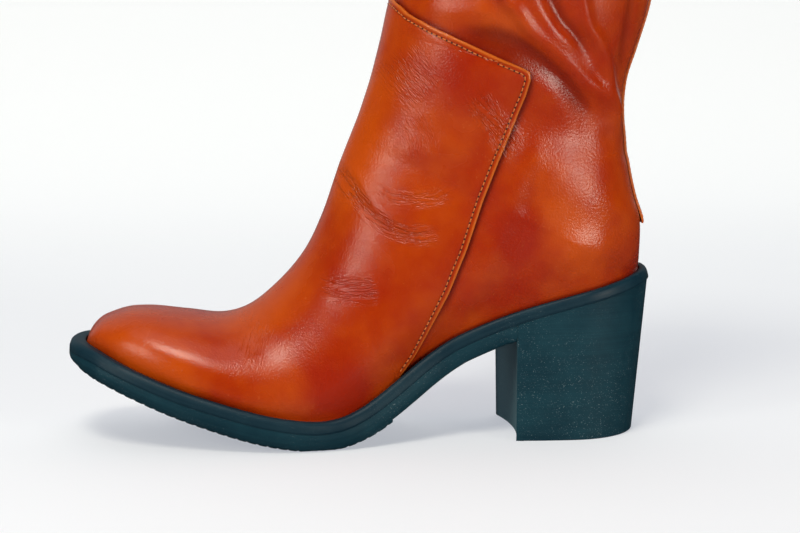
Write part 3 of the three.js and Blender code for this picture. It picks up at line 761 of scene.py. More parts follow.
# Painted light and shade: patches where the leather's colour is painted paler, above zero, where light
# falls, or deeper, where shade falls.
PAINTED_LIGHT_AND_SHADE_LINES = (
    Fold([(26, 170), (40, 156), (56, 140)], -0.9, 13.0, Side.BOTH, fade=0.4),
    Fold([(36, 128), (46, 112), (53, 96)], -0.6, 11.0, Side.BOTH, fade=0.4),
    Fold([(54, 76), (62, 88), (70, 100)], -0.9, 9.0, Side.BOTH, fade=0.4),
    Fold([(-34, 30), (-20, 26), (-4, 22), (8, 24)], -1.0, 11.0, Side.BOTH, fade=0.4),
    Fold([(8, 166), (2, 140), (-5, 112), (-14, 90)], 0.9, 8.0, Side.BOTH, fade=0.3),
    Fold([(-112, 46), (-98, 40), (-80, 30), (-62, 24)], 0.9, 8.0, Side.BOTH, fade=0.3),
    Fold([(-70, 52), (-52, 50), (-34, 58), (-20, 76)], 0.6, 8.0, Side.BOTH, fade=0.3),
    Fold([(62, 132), (68, 120), (76, 104), (88, 84), (102, 78)], 0.5, 8.0, Side.BOTH, fade=0.3),
    Fold([(34, 186), (50, 178), (66, 172)], 0.6, 7.0, Side.BOTH, fade=0.3),
)


@dataclass(frozen=True)
class Crackle:
    """A patch of fine wrinkles that run along a line, seen from the side."""

    line: Sequence[Sequence[float]]
    reach: float
    depth: float = 1.0
    fade: float = 0.2


# Patches of fine wrinkles, at the bend of the foot and beside the panel's edge.
CRACKLES = (
    Crackle([(-12.5, 119), (-9.5, 112), (-4, 103.5), (2, 96), (8.5, 91.5), (15.5, 89), (23, 88.6),
             (31, 90.5)], 5.2, 1.0),
    Crackle([(2, 109), (9, 104.6), (17, 102.9), (26, 103.2), (36, 106)], 4.2, 0.6),
    Crackle([(-21, 66.5), (-11, 65.6), (-1, 66), (5, 67.5)], 7.0, 0.75),
    Crackle([(41, 148), (48, 138.5), (54, 130), (60, 121)], 8.0, 0.7),
    Crackle([(11, 163), (18, 153.5), (26, 144)], 15.0, 0.45),
    Crackle([(-43, 52), (-47.5, 44), (-51, 36)], 8.0, 0.4),
    Crackle([(17, 138), (22, 129), (24, 118)], 9.0, 0.3),
)


def crackle_of(grid: Array) -> dict[str, Array]:
    """Where the fine wrinkles lie on the leather.

    Args:
        grid: Points of the leather.

    Returns:
        The depth of the wrinkles at each point and its place along and across them in millimetres.
    """
    core_share = 0.35
    patch_offset = 100
    flat = grid.reshape(-1, 3)[:, [0, 2]]
    deepest, along, across = np.zeros(len(flat)), np.zeros(len(flat)), np.zeros(len(flat))
    for number, patch in enumerate(CRACKLES):
        line = curve_through(patch.line)
        length = np.linalg.norm(np.diff(line, axis=0), axis=1).sum()
        gap, share = distance_to(flat, line)
        ends = smooth(share, 0, patch.fade) * smooth(1 - share, 0, patch.fade)
        depth = patch.depth * ends * (1 - smooth(gap, core_share * patch.reach, patch.reach))
        marks = np.linspace(0, 1, len(line))
        spot = read_line(line, marks, share)
        way = read_line(np.gradient(line, axis=0), marks, share)
        side = np.sign(way[:, 0] * (flat - spot)[:, 1] - way[:, 1] * (flat - spot)[:, 0])
        stronger = depth > deepest
        deepest = np.where(stronger, depth, deepest)
        along = np.where(stronger, share * length + patch_offset * number, along)
        across = np.where(stronger, side * gap, across)
    found = {"crackle": deepest, "crackle_along": along, "crackle_across": across}
    return {name: value.reshape(grid.shape[:2]) for name, value in found.items()}


def lift_of(grid: Array, lines: Sequence[Fold] = FORM_LINES + WORN_LINES) -> Array:
    """How far the folds lift each point of the leather."""
    return sum(fold.lift(grid, SIDE_MIDDLE) for fold in lines)


class Wrapped:
    """A shader socket that takes part in written expressions."""

    def __init__(self, graph: Graph, socket: bpy.types.NodeSocket) -> None:
        """Wrap an output socket of a graph."""
        self.graph = graph
        self.socket = socket

    def _join(self, operation: str, other: Operand, reflected: bool = False) -> Wrapped:
        """Join with another value in the node that suits the kind of socket.

        Args:
            operation: Name of the operation.
            other: The other side of the operator.
            reflected: True where the other side comes first.

        Returns:
            The result.
        """
        first, second = (other, self) if reflected else (self, other)
        kinds = {side.socket.type for side in (first, second) if isinstance(side, Wrapped)}
        if "RGBA" in kinds:
            settings = {"data_type": "RGBA", "blend_type": operation, "clamp_result": False}
            values = {0: 1.0, 6: as_colour(first), 7: as_colour(second)}
            return self.graph.node("ShaderNodeMix", settings, values, 2)
        if "VECTOR" in kinds:
            values = {0: as_vector(first), 1: as_vector(second)}
            return self.graph.node("ShaderNodeVectorMath", {"operation": operation}, values)
        return self.graph.node("ShaderNodeMath", {"operation": operation}, {0: first, 1: second})

    def __add__(self, other: Operand) -> Wrapped:
        """Sum."""
        return self._join("ADD", other)

    def __radd__(self, other: Operand) -> Wrapped:
        """Sum with the other side first."""
        return self._join("ADD", other, True)

    def __sub__(self, other: Operand) -> Wrapped:
        """Difference."""
        return self._join("SUBTRACT", other)

    def __rsub__(self, other: Operand) -> Wrapped:
        """Difference with the other side first."""
        return self._join("SUBTRACT", other, True)

    def __mul__(self, other: Operand) -> Wrapped:
        """Product."""
        return self._join("MULTIPLY", other)

    def __rmul__(self, other: Operand) -> Wrapped:
        """Product with the other side first."""
        return self._join("MULTIPLY", other, True)

    def band(self, low: float, high: float, start: float = 0.0, end: float = 1.0) -> Wrapped:
        """A smooth change from start to end as the value goes from low to high."""
        values = {0: self, 1: low, 2: high, 3: start, 4: end}
        return self.graph.node("ShaderNodeMapRange", {"interpolation_type": "SMOOTHSTEP"}, values)

    def size(self) -> Wrapped:
        """The value without its sign."""
        return self.graph.node("ShaderNodeMath", {"operation": "ABSOLUTE"}, {0: self})

    def blend(self, start: Operand, end: Operand) -> Wrapped:
        """Mix of two colours by this value."""
        values = {0: self, 6: as_colour(start), 7: as_colour(end)}
        return self.graph.node("ShaderNodeMix", {"data_type": "RGBA"}, values, 2)


Operand = Union[Wrapped, float, Sequence[float]]


def as_colour(value: Operand) -> Operand:
    """Give a plain value the four numbers of a colour.

    Args:
        value: A number, a colour of three numbers or a wrapped socket.

    Returns:
        The colour, or the socket as it is.
    """
    if isinstance(value, Wrapped):
        return value
    return (*value, 1.0) if isinstance(value, Sequence) else (value, value, value, 1.0)


def as_vector(value: Operand) -> Operand:
    """A plain value as a vector."""
    return value if isinstance(value, (Wrapped, Sequence)) else (value, value, value)


class Graph:
    """The nodes of one material."""

    def __init__(self, name: str) -> None:
        """Start a material.

        Args:
            name: The material's name.
        """
        self.material = bpy.data.materials.new(name)
        self.material.use_nodes = True
        self.tree = self.material.node_tree
        self.tree.nodes.clear()

    def node(self, kind: str, settings: dict, inputs: dict, output: Union[int, str] = 0) -> Wrapped:
        """Add a node.

        Args:
            kind: The node's type.
            settings: Its settings, set before its sockets.
            inputs: Values or links by socket name or number.
            output: The output that is handed back.

        Returns:
            The wrapped output.
        """
        made = self.tree.nodes.new(kind)
        for name, value in settings.items():
            setattr(made, name, value)
        for name, value in inputs.items():
            if isinstance(value, Wrapped):
                self.tree.links.new(value.socket, made.inputs[name])
            else:
                made.inputs[name].default_value = value
        return Wrapped(self, made.outputs[output])

    def place(self) -> Wrapped:
        """Coordinates of the object."""
        return self.node("ShaderNodeTexCoord", {}, {}, "Object")

    def value(self, name: str) -> Wrapped:
        """A value stored with the mesh."""
        return self.node("ShaderNodeAttribute", {"attribute_name": name}, {}, "Fac")

    def spot(self, x: Operand = 0.0, y: Operand = 0.0, z: Operand = 0.0) -> Wrapped:
        """A place made of three values."""
        return self.node("ShaderNodeCombineXYZ", {}, {"X": x, "Y": y, "Z": z})

    def noise(self, place: Wrapped, scale: float, detail: float = 2.0, rough: float = 0.5) -> Wrapped:
        """Cloudy noise between 0 and 1."""
        values = {"Vector": place, "Scale": scale, "Detail": detail, "Roughness": rough}
        return self.node("ShaderNodeTexNoise", {}, values)

    def cells(self, place: Wrapped, scale: float) -> Wrapped:
        """Distance from the middle of the nearest cell."""
        return self.node("ShaderNodeTexVoronoi", {}, {"Vector": place, "Scale": scale}, "Distance")

    def bump(self, height: Wrapped, distance: float, strength: float = 1.0) -> Wrapped:
        """A direction bent by a height between 0 and 1 that stands for a distance in metres."""
        values = {"Strength": strength, "Distance": distance, "Height": height}
        return self.node("ShaderNodeBump", {}, values)

    def surface(self, inputs: dict) -> bpy.types.Material:
        """Finish the material with its surface shader.

        Args:
            inputs: Values or links of the shader's sockets.

        Returns:
            The material.
        """
        shader = self.node("ShaderNodeBsdfPrincipled", {}, inputs)
        out = self.tree.nodes.new("ShaderNodeOutputMaterial")
        self.tree.links.new(shader.socket, out.inputs["Surface"])
        return self.material


@dataclass(frozen=True)
class LeatherFinish:
    """Smooth cognac leather with a fine grain, fine wrinkles and a satin gloss, with painted shade in fold
    troughs, wrinkles and along edges, and patches of painted light and shade.
    """

    name: str = "cognac_leather"
    # deep and lit: the leather's colour deeper and as lit, mixed by random clouds and by painted light and
    # shade; shadow: the colour of painted shade.
    deep: Colour = (0.26, 0.011, 0.0004)
    lit: Colour = (0.4, 0.05, 0.0006)
    shadow: Colour = (0.12, 0.0045, 0.0004)
    raw_edge: Colour = (0.46, 0.1, 0.01)
    worn: Colour = (0.5, 0.12, 0.03)
    roughness: float = 0.23
    grain: float = 1050.0
    grain_depth: float = 0.14
    crackle_depth: float = 0.3
    crackle_pitch: float = 1.7
    crackle_stretch: float = 0.16
    crease_width: float = 0.09
    cloud_scale: float = 20.0
    mottle_scale: float = 160.0
    pore_scale: float = 1900.0
    tone_band: Span = (0.24, 0.74)
    trough_shade_band: Span = (-2.4, -0.3)

    def creases(self, graph: Graph, place: Wrapped) -> Wrapped:
        """Fine wrinkles that run along their line.

        Args:
            graph: The material's nodes.
            place: Coordinates of the object.

        Returns:
            0 in the wrinkles and 1 between them.
        """
        along = graph.value("crackle_along") * (self.crackle_stretch / self.crackle_pitch)
        across = graph.value("crackle_across") * (1 / self.crackle_pitch)
        waver = graph.noise(place, 260.0) * 0.5
        lines = graph.noise(graph.spot(along, across) + waver, 1.0, 2.5, 0.6)
        return (lines - 0.5).size().band(0.0, self.crease_width)

    def make(self) -> bpy.types.Material:
        """Build the material.

        Returns:
            The finished material.
        """
        graph = Graph(self.name)
        place = graph.place()
        clouds = graph.noise(place, self.cloud_scale, 3.0, 0.55)
        mottle = graph.noise(place, self.mottle_scale, 3.0, 0.6)
        # Tone mixes random clouds and mottle with the patches of painted light and shade, between the deeper
        # and the lit colour.
        tone = (clouds * 0.8 + mottle * 0.15 + graph.value("blush") * 0.26).band(*self.tone_band)
        # Painted shade: the troughs of the folds are painted darker towards the shadow colour.
        trough = graph.value("fold").band(*self.trough_shade_band, 1.0, 0.0)
        crackle = graph.value("crackle")
        creases = self.creases(graph, place)
        specks = graph.noise(place, 900.0, 1.0).band(0.68, 0.74) * graph.noise(place, 60.0).band(0.45, 0.7)
        colour = tone.blend(self.deep, self.lit)
        colour = (trough * 0.75).blend(colour, self.shadow)
        # Painted shade in the fine wrinkles.
        colour = ((1 - creases) * crackle * 0.12).blend(colour, self.shadow)
        colour = (specks * 0.3).blend(colour, self.worn)
        colour = graph.value("raw").blend(colour, self.raw_edge)
        # Painted shade at the leather's foot, beside the panel's edge and in the panel's stitch channel.
        colour = graph.value("shade").blend(colour, self.shadow)
        pebbles = graph.cells(place + graph.noise(place, 400.0) * 0.0006, self.grain)
        pores = graph.noise(place, self.pore_scale, 2.0, 0.6)
        grain = (1 - pebbles) * 0.45 + pores * 0.55
        height = grain * self.grain_depth + creases * crackle * self.crackle_depth
        gloss = self.roughness + graph.noise(place, 45.0, 3.0).band(0.35, 0.7) * 0.08
        return graph.surface({
            "Base Color": colour, "Roughness": gloss, "Normal": graph.bump(height, MM),
            "IOR": 1.5, "Specular IOR Level": 0.3,
        })


@dataclass(frozen=True)
class RubberFinish:
    """Matt dark rubber with fine lines along the sole and pale dust, and a paler heel breast that is dust
    and painted sheen.
    """

    name: str
    dark: Colour
    pale: Colour
    dust: float
    roughness: float = 0.5
    lines: float = 0.5
    dust_colour: Colour = (0.2, 0.26, 0.28)
    dust_and_sheen_colour: Colour = (0.09, 0.17, 0.2)
    line_scale: Triple = (14.0, 14.0, 0.0)
    layer_scale: float = 1.7
    relief: float = 0.00009

    def make(self) -> bpy.types.Material:
        """Build the material.

        Returns:
            The finished material.
        """
        graph = Graph(self.name)
        place = graph.place()
        layered = graph.spot(z=graph.value("layer") * self.layer_scale)
        lines = graph.noise(place * self.line_scale + layered, 1.0, 3.0, 0.65)
        clouds = graph.noise(place, 45.0, 4.0, 0.6)
        tone = lines.band(0.3, 0.7) * 0.4 + clouds.band(0.3, 0.7) * 0.6
        specks = graph.noise(place, 2300.0, 1.0).band(0.66, 0.74) * graph.noise(place, 28.0).band(0.36, 0.6)
        colour = tone.blend(self.dark, self.pale)
        colour = (specks * self.dust).blend(colour, self.dust_colour)
        # The heel's hollow front is painted paler: dust on it and a painted sheen.
        colour = (graph.value("dusty") * 0.6).blend(colour, self.dust_and_sheen_colour)
        height = lines * self.lines + graph.noise(place, 1800.0) * (1 - self.lines)
        return graph.surface({
            "Base Color": colour, "Roughness": self.roughness + tone * 0.14,
            "Normal": graph.bump(height, self.relief, 0.5), "Specular IOR Level": 0.17,
        })


@dataclass(frozen=True)
class PlainFinish:
    """A quiet finish with a little cloud and grain, for lining, thread and the painted shade of needle
    holes.
    """

    name: str
    dark: Colour
    pale: Colour
    roughness: float
    scale: float
    depth: float
    grain_ratio: float = 14.0

    def make(self) -> bpy.types.Material:
        """Build the material.

        Returns:
            The finished material.
        """
        graph = Graph(self.name)
        place = graph.place()
        tone = graph.noise(place, self.scale, 3.0, 0.6)
        grain = graph.noise(place, self.scale * self.grain_ratio)
        return graph.surface({
            "Base Color": tone.band(0.3, 0.7).blend(self.dark, self.pale),
            "Roughness": self.roughness, "Normal": graph.bump(grain, self.depth, 0.6),
        })


class MeshParts:
    """Points and faces gathered for one piece."""

    def __init__(self) -> None:
        """Start with nothing."""
        self.points: list[Array] = []
        self.faces: list[list[int]] = []
        self.values: dict[str, list[tuple[int, Array]]] = {}
        self.count = 0

    def add(self, points: Array, faces: Sequence[Sequence[int]], **values: Array) -> int:
        """Add points, faces between them and named values per point.

        Args:
            points: The points in millimetres.
            faces: Faces as numbers of these points.
            values: Values per point by name.

        Returns:
            The number of the first point.
        """
        flat = np.asarray(points, float).reshape(-1, 3)
        first = self.count
        self.points.append(flat)
        self.faces.extend((np.asarray(face) + first).tolist() for face in faces)
        for name, value in values.items():
            spread = np.broadcast_to(value, points.shape[:-1]).reshape(-1)
            self.values.setdefault(name, []).append((first, spread))
        self.count += len(flat)
        return first

    def grid(self, grid: Array, wrap_rows: bool = False, wrap_columns: bool = False,
             **values: Array) -> int:
        """Add a grid of quads.

        Args:
            grid: The points, as rows by columns by three.
            wrap_rows: True where the last row joins the first one.
            wrap_columns: True where the last column joins the first one.
            values: Values per point by name.

        Returns:
            The number of the first point.
        """
        return self.add(grid, quads_of(*grid.shape[:2], wrap_rows, wrap_columns), **values)

    def build(self, name: str, material: bpy.types.Material, slot: str, sharp: float = 40.0,
              weld: float = 0.002, replaced: Sequence[str] = ()) -> bpy.types.Object:
        """Make the piece and put it on the frame.

        Args:
            name: The piece's name.
            material: Its finish.
            slot: Not used.
            sharp: Angle in degrees above which an edge stays sharp.
            weld: Distance in millimetres under which points become one.
            replaced: The solids that the piece stands for.

        Returns:
            The piece.
        """
        mesh = bpy.data.meshes.new(name)
        mesh.from_pydata((np.concatenate(self.points) * MM).tolist(), [], self.faces)
        for value_name, parts in self.values.items():
            whole = np.zeros(self.count, np.float32)
            for first, part in parts:
                whole[first:first + len(part)] = part
            mesh.attributes.new(value_name, "FLOAT", "POINT").data.foreach_set("value", whole)
        work = bmesh.new()
        work.from_mesh(mesh)
        bmesh.ops.remove_doubles(work, verts=work.verts, dist=weld * MM)
        bmesh.ops.dissolve_degenerate(work, edges=work.edges, dist=weld * MM / 2)
        bmesh.ops.recalc_face_normals(work, faces=work.faces)
        work.to_mesh(mesh)
        work.free()
        mesh.shade_smooth()
        mesh.set_sharp_from_angle(angle=math.radians(sharp))
        mesh.materials.append(material)
        piece = bpy.data.objects.new(name, mesh)
        bpy.context.scene.collection.objects.link(piece)
        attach(piece, "root")
        if replaced:
            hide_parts(*replaced)
        LOG.info("%s: %d faces", name, len(mesh.polygons))
        return piece


class Skin:
    """The finished outer face of a piece of leather, on which stitches are laid."""

    def __init__(self, grid: Array) -> None:
        """Keep a grid of points for later searches."""
        self.tree = BVHTree.FromPolygons(grid.reshape(-1, 3).tolist(), quads_of(*grid.shape[:2]))

    def settle(self, places: Array, inside: Array) -> tuple[Array, Array]:
        """Move places onto the skin.

        Args:
            places: Places near it.
            inside: Points on the inner side of the skin, one for each place.

        Returns:
            The places on the skin and the outward directions there.
        """
        found = [self.tree.find_nearest(Vector(place))[:2] for place in places]
        on = np.array([spot for spot, _ in found], float)
        out = np.array([normal for _, normal in found], float)
        turn = np.where(np.einsum("ij,ij->i", out, on - inside) < 0, -1.0, 1.0)
        return on, out * turn[:, None]


@dataclass(frozen=True)
class Seam:
    """A row of stitches with a needle hole between each pair."""

    pitch: float = 2.3
    share: float = 0.72
    thread: float = 0.26
    rise: float = 0.24
    hole: float = 0.42
    reach: float = 0.6

    def sew(self, line: Array, skin: Skin, inside: Array, thread: MeshParts, holes: MeshParts) -> None:
        """Lay the row along a line.

        Args:
            line: Places of the row near the skin.
            skin: The skin that it lies on.
            inside: A point inside the boot for each place.
            thread: Takes the stitches.
            holes: Takes the needle holes.
        """
        steps = np.linalg.norm(np.diff(line, axis=0), axis=1)
        run = np.concatenate([[0], np.cumsum(steps)])
        count = max(int(run[-1] / self.pitch), 1)
        marks = (np.arange(count) + 0.5) * run[-1] / count
        for offset, parts in ((0.0, thread), (0.5, holes)):
            here = marks + offset * run[-1] / count
            behind, middle, ahead = (read_line(line, run, here + step)
                                     for step in (-self.reach, 0, self.reach))
            on, out = skin.settle(middle, read_line(inside, run, here))
            along = unit(ahead - behind)
            along = unit(along - out * np.einsum("ij,ij->i", along, out)[:, None])
            axes = (along, np.cross(out, along), out)
            shape, faces = self.stitch() if parts is thread else self.pit()
            moved = sum(shape[None, :, k, None] * axis[:, None, :] for k, axis in enumerate(axes))
            for points in on[:, None] + moved:
                parts.add(points, faces)

    def stitch(self) -> tuple[Array, Faces]:
        """One stitch as a short arched thread.

        Returns:
            Its points and faces.
        """
        sides = 6
        sink = 0.04
        along = np.array([-1, -0.86, -0.5, 0, 0.5, 0.86, 1]) * self.pitch * self.share / 2
        girth = np.array([0.35, 0.8, 1, 1, 1, 0.8, 0.35])[:, None] * self.thread
        height = self.rise * (1 - (2 * along / (self.pitch * self.share)) ** 2) - sink
        angle = np.arange(sides) * 2 * np.pi / sides
        ring = point(along[:, None], girth * np.cos(angle), height[:, None] + girth * np.sin(angle))
        ends = [list(range(sides - 1, -1, -1)), list(range(ring.size // 3 - sides, ring.size // 3))]
        return ring.reshape(-1, 3), quads_of(len(ring), sides, wrap_columns=True) + ends

    def pit(self) -> tuple[Array, Faces]:
        """One needle hole as a small low dish, coloured dark as painted shade of the hole.

        Returns:
            Its points and faces.
        """
        sides = 8
        rings = ((1.0, 0.04), (0.72, 0.15))
        middle_height = 0.1
        angle = np.arange(sides) * 2 * np.pi / sides
        points = [point(self.hole * r * np.cos(angle), self.hole * r * np.sin(angle), z) for r, z in rings]
        faces = quads_of(len(rings), sides, wrap_columns=True)
        faces += [[sides + j, sides + (j + 1) % sides, 2 * sides] for j in range(sides)]
        return np.concatenate([*points, [[0, 0, middle_height]]]), faces + [list(range(sides - 1, -1, -1))]


@dataclass
class Upper:
    """Quarters and shaft in one hollow shell, with its lining and turned collar."""

    last: Last
    leather: float = 1.4
    wall: float = 2.2
    lining_drop: float = 1.2
    rows: int = 300
    inner_step: int = 4
    front_columns: int = 24
    rear_columns: int = 84
    front_share: float = 0.34
    collar_seam: float = 3.5
    collar_clear: float = 1.2
    soft_rows: tuple[Span, Span] = ((14.2, 15.2), (17.0, 18.6))
    soft_turns: tuple[Span, Span] = ((1.2, 1.5), (1.93, 1.99))
    soft_rounds: int = 60
    foot_shade: Span = (0.3, 1.8)
    edge_shade: float = 1.8
    grid: Array = field(init=False)
    out: Array = field(init=False)
    section: Array = field(init=False)
    values: dict[str, Array] = field(init=False)

    def shape(self, edge: Array) -> None:
        """Work out the outer face with its folds.

        Args:
            edge: The raw edge of the panel that lies on it, beside which the leather is painted darker as
                shade.
        """
        last = self.last
        rows = last.even_rows(0, TOP_ROW, self.rows, (-1.8, -1, 0, 1))
        front = np.linspace(0, self.front_share, self.front_columns, endpoint=False)
        shares = np.concatenate([front, np.linspace(self.front_share, 1, self.rear_columns)])
        turns = last.even_turns(rows, np.full(len(rows), SEAT_TURN), shares)
        base = last.closed_toe(last.surface(rows, turns))
        near_heel = within(rows, *self.soft_rows)[:, None] * within(np.abs(turns), *self.soft_turns)
        base = relax(base, near_heel, self.soft_rounds)
        self.section = rows
        self.out = normals_of(base)
        self.grid = base + self.out * lift_of(base)[..., None]
        # Painted shade: darker at the leather's foot by the rim and beside the panel's raw edge.
        rim = last.rim_height(np.clip(last.share_of(base[..., 0]), 0, 1))
        foot = 1 - smooth(base[..., 2] - rim, *self.foot_shade)
        gap, _ = distance_to(base.reshape(-1, 3), edge[::3])
        beside = np.exp(-((gap.reshape(foot.shape) / self.edge_shade) ** 2))
        self.values = {
            # The last values are painted shade, painted light and shade, and fine wrinkles.
            "fold": lift_of(base, WORN_LINES), "blush": lift_of(base, PAINTED_LIGHT_AND_SHADE_LINES),
            "shade": np.maximum(0.8 * foot, 0.95 * beside), **crackle_of(base),
        }

    def layer(self, parts: MeshParts, top: float, bottom: float, drop: float) -> None:
        """Add a closed shell between two depths under the outer face.

        Args:
            parts: Takes the shell.
            top: Depth of its outer face.
            bottom: Depth of its inner face.
            drop: How far its edge stays below the collar line.
        """
        half = (bottom - top) / 2
        fade = smooth(self.section, TOP_ROW - 0.6, TOP_ROW)[:, None, None]
        lower = np.array([0, 0, -drop]) * fade
        outer = self.grid - self.out * top + lower
        inner = self.grid - self.out * bottom + lower
        rolls = []
        for turn in np.linspace(0, np.pi, 7)[1:-1]:
            up = np.array([0, 0, half * math.sin(turn)])
            rolls.append(outer[-1] - self.out[-1] * half * (1 - math.cos(turn)) + up)
        kept = np.unique(np.concatenate([np.arange(0, len(inner), self.inner_step), [len(inner) - 1]]))[::-1]
        stack = np.concatenate([outer, np.array(rolls), inner[kept]])
        values = {name: np.concatenate([value, np.tile(value[-1], (len(rolls), 1)), value[kept]])
                  for name, value in self.values.items()}
        first = parts.grid(stack, wrap_rows=True, raw=0.0, **values)
        below = len(outer) + len(rolls)
        self.close_foot(parts, first, stack.shape[1], {row: below + i for i, row in enumerate(kept)})

    def close_foot(self, parts: MeshParts, first: int, columns: int, inner_row: dict[int, int]) -> None:
        """Join the outer face to the inner one along the leather's foot.

        Args:
            parts: Takes the faces.
            first: Number of the shell's first point.
            columns: How many columns the shell has.
            inner_row: The shell's row for each row that the inner face keeps.
        """
        open_rows = int(np.searchsorted(self.section, HEEL_ROW + 0.2))
        marks = [row for row in range(open_rows + 1) if row in inner_row]
        for edge, flip in ((0, False), (columns - 1, True)):
            for a, b in zip(marks[:-1], marks[1:]):
                face = [first + row * columns + edge for row in range(a, b + 1)]
                face += [first + inner_row[row] * columns + edge for row in (b, a)]
                parts.faces.append(face[::-1] if flip else face)

    def dress(self, leather: bpy.types.Material, lining: bpy.types.Material, thread: MeshParts,
              holes: MeshParts, seam: Seam) -> None:
        """Make the leather shell with its collar seam, and the lining.

        Args:
            leather: Finish of the shell.
            lining: Finish of the lining.
            thread: Takes the stitches.
            holes: Takes the needle holes.
            seam: The row's sizes.
        """
        shell = MeshParts()
        self.layer(shell, 0.0, self.leather, 0.0)
        shell.build("upper_leather", leather, "leather", replaced=["upper"])
        core = np.broadcast_to(self.grid.mean(axis=1, keepdims=True), self.grid.shape)
        heights = self.grid[:, 0, 2]
        row = int(np.argmin(np.abs(heights - heights[-1] + self.collar_seam)))
        kept = self.grid[row, :, 0] < self.grid[row, :, 0].max() - self.collar_clear
        seam.sew(self.grid[row][kept], Skin(self.grid), core[row][kept], thread, holes)
        cloth = MeshParts()
        self.layer(cloth, self.leather + 0.05, self.wall, self.lining_drop)
        cloth.build("leg_lining", lining, "lining")


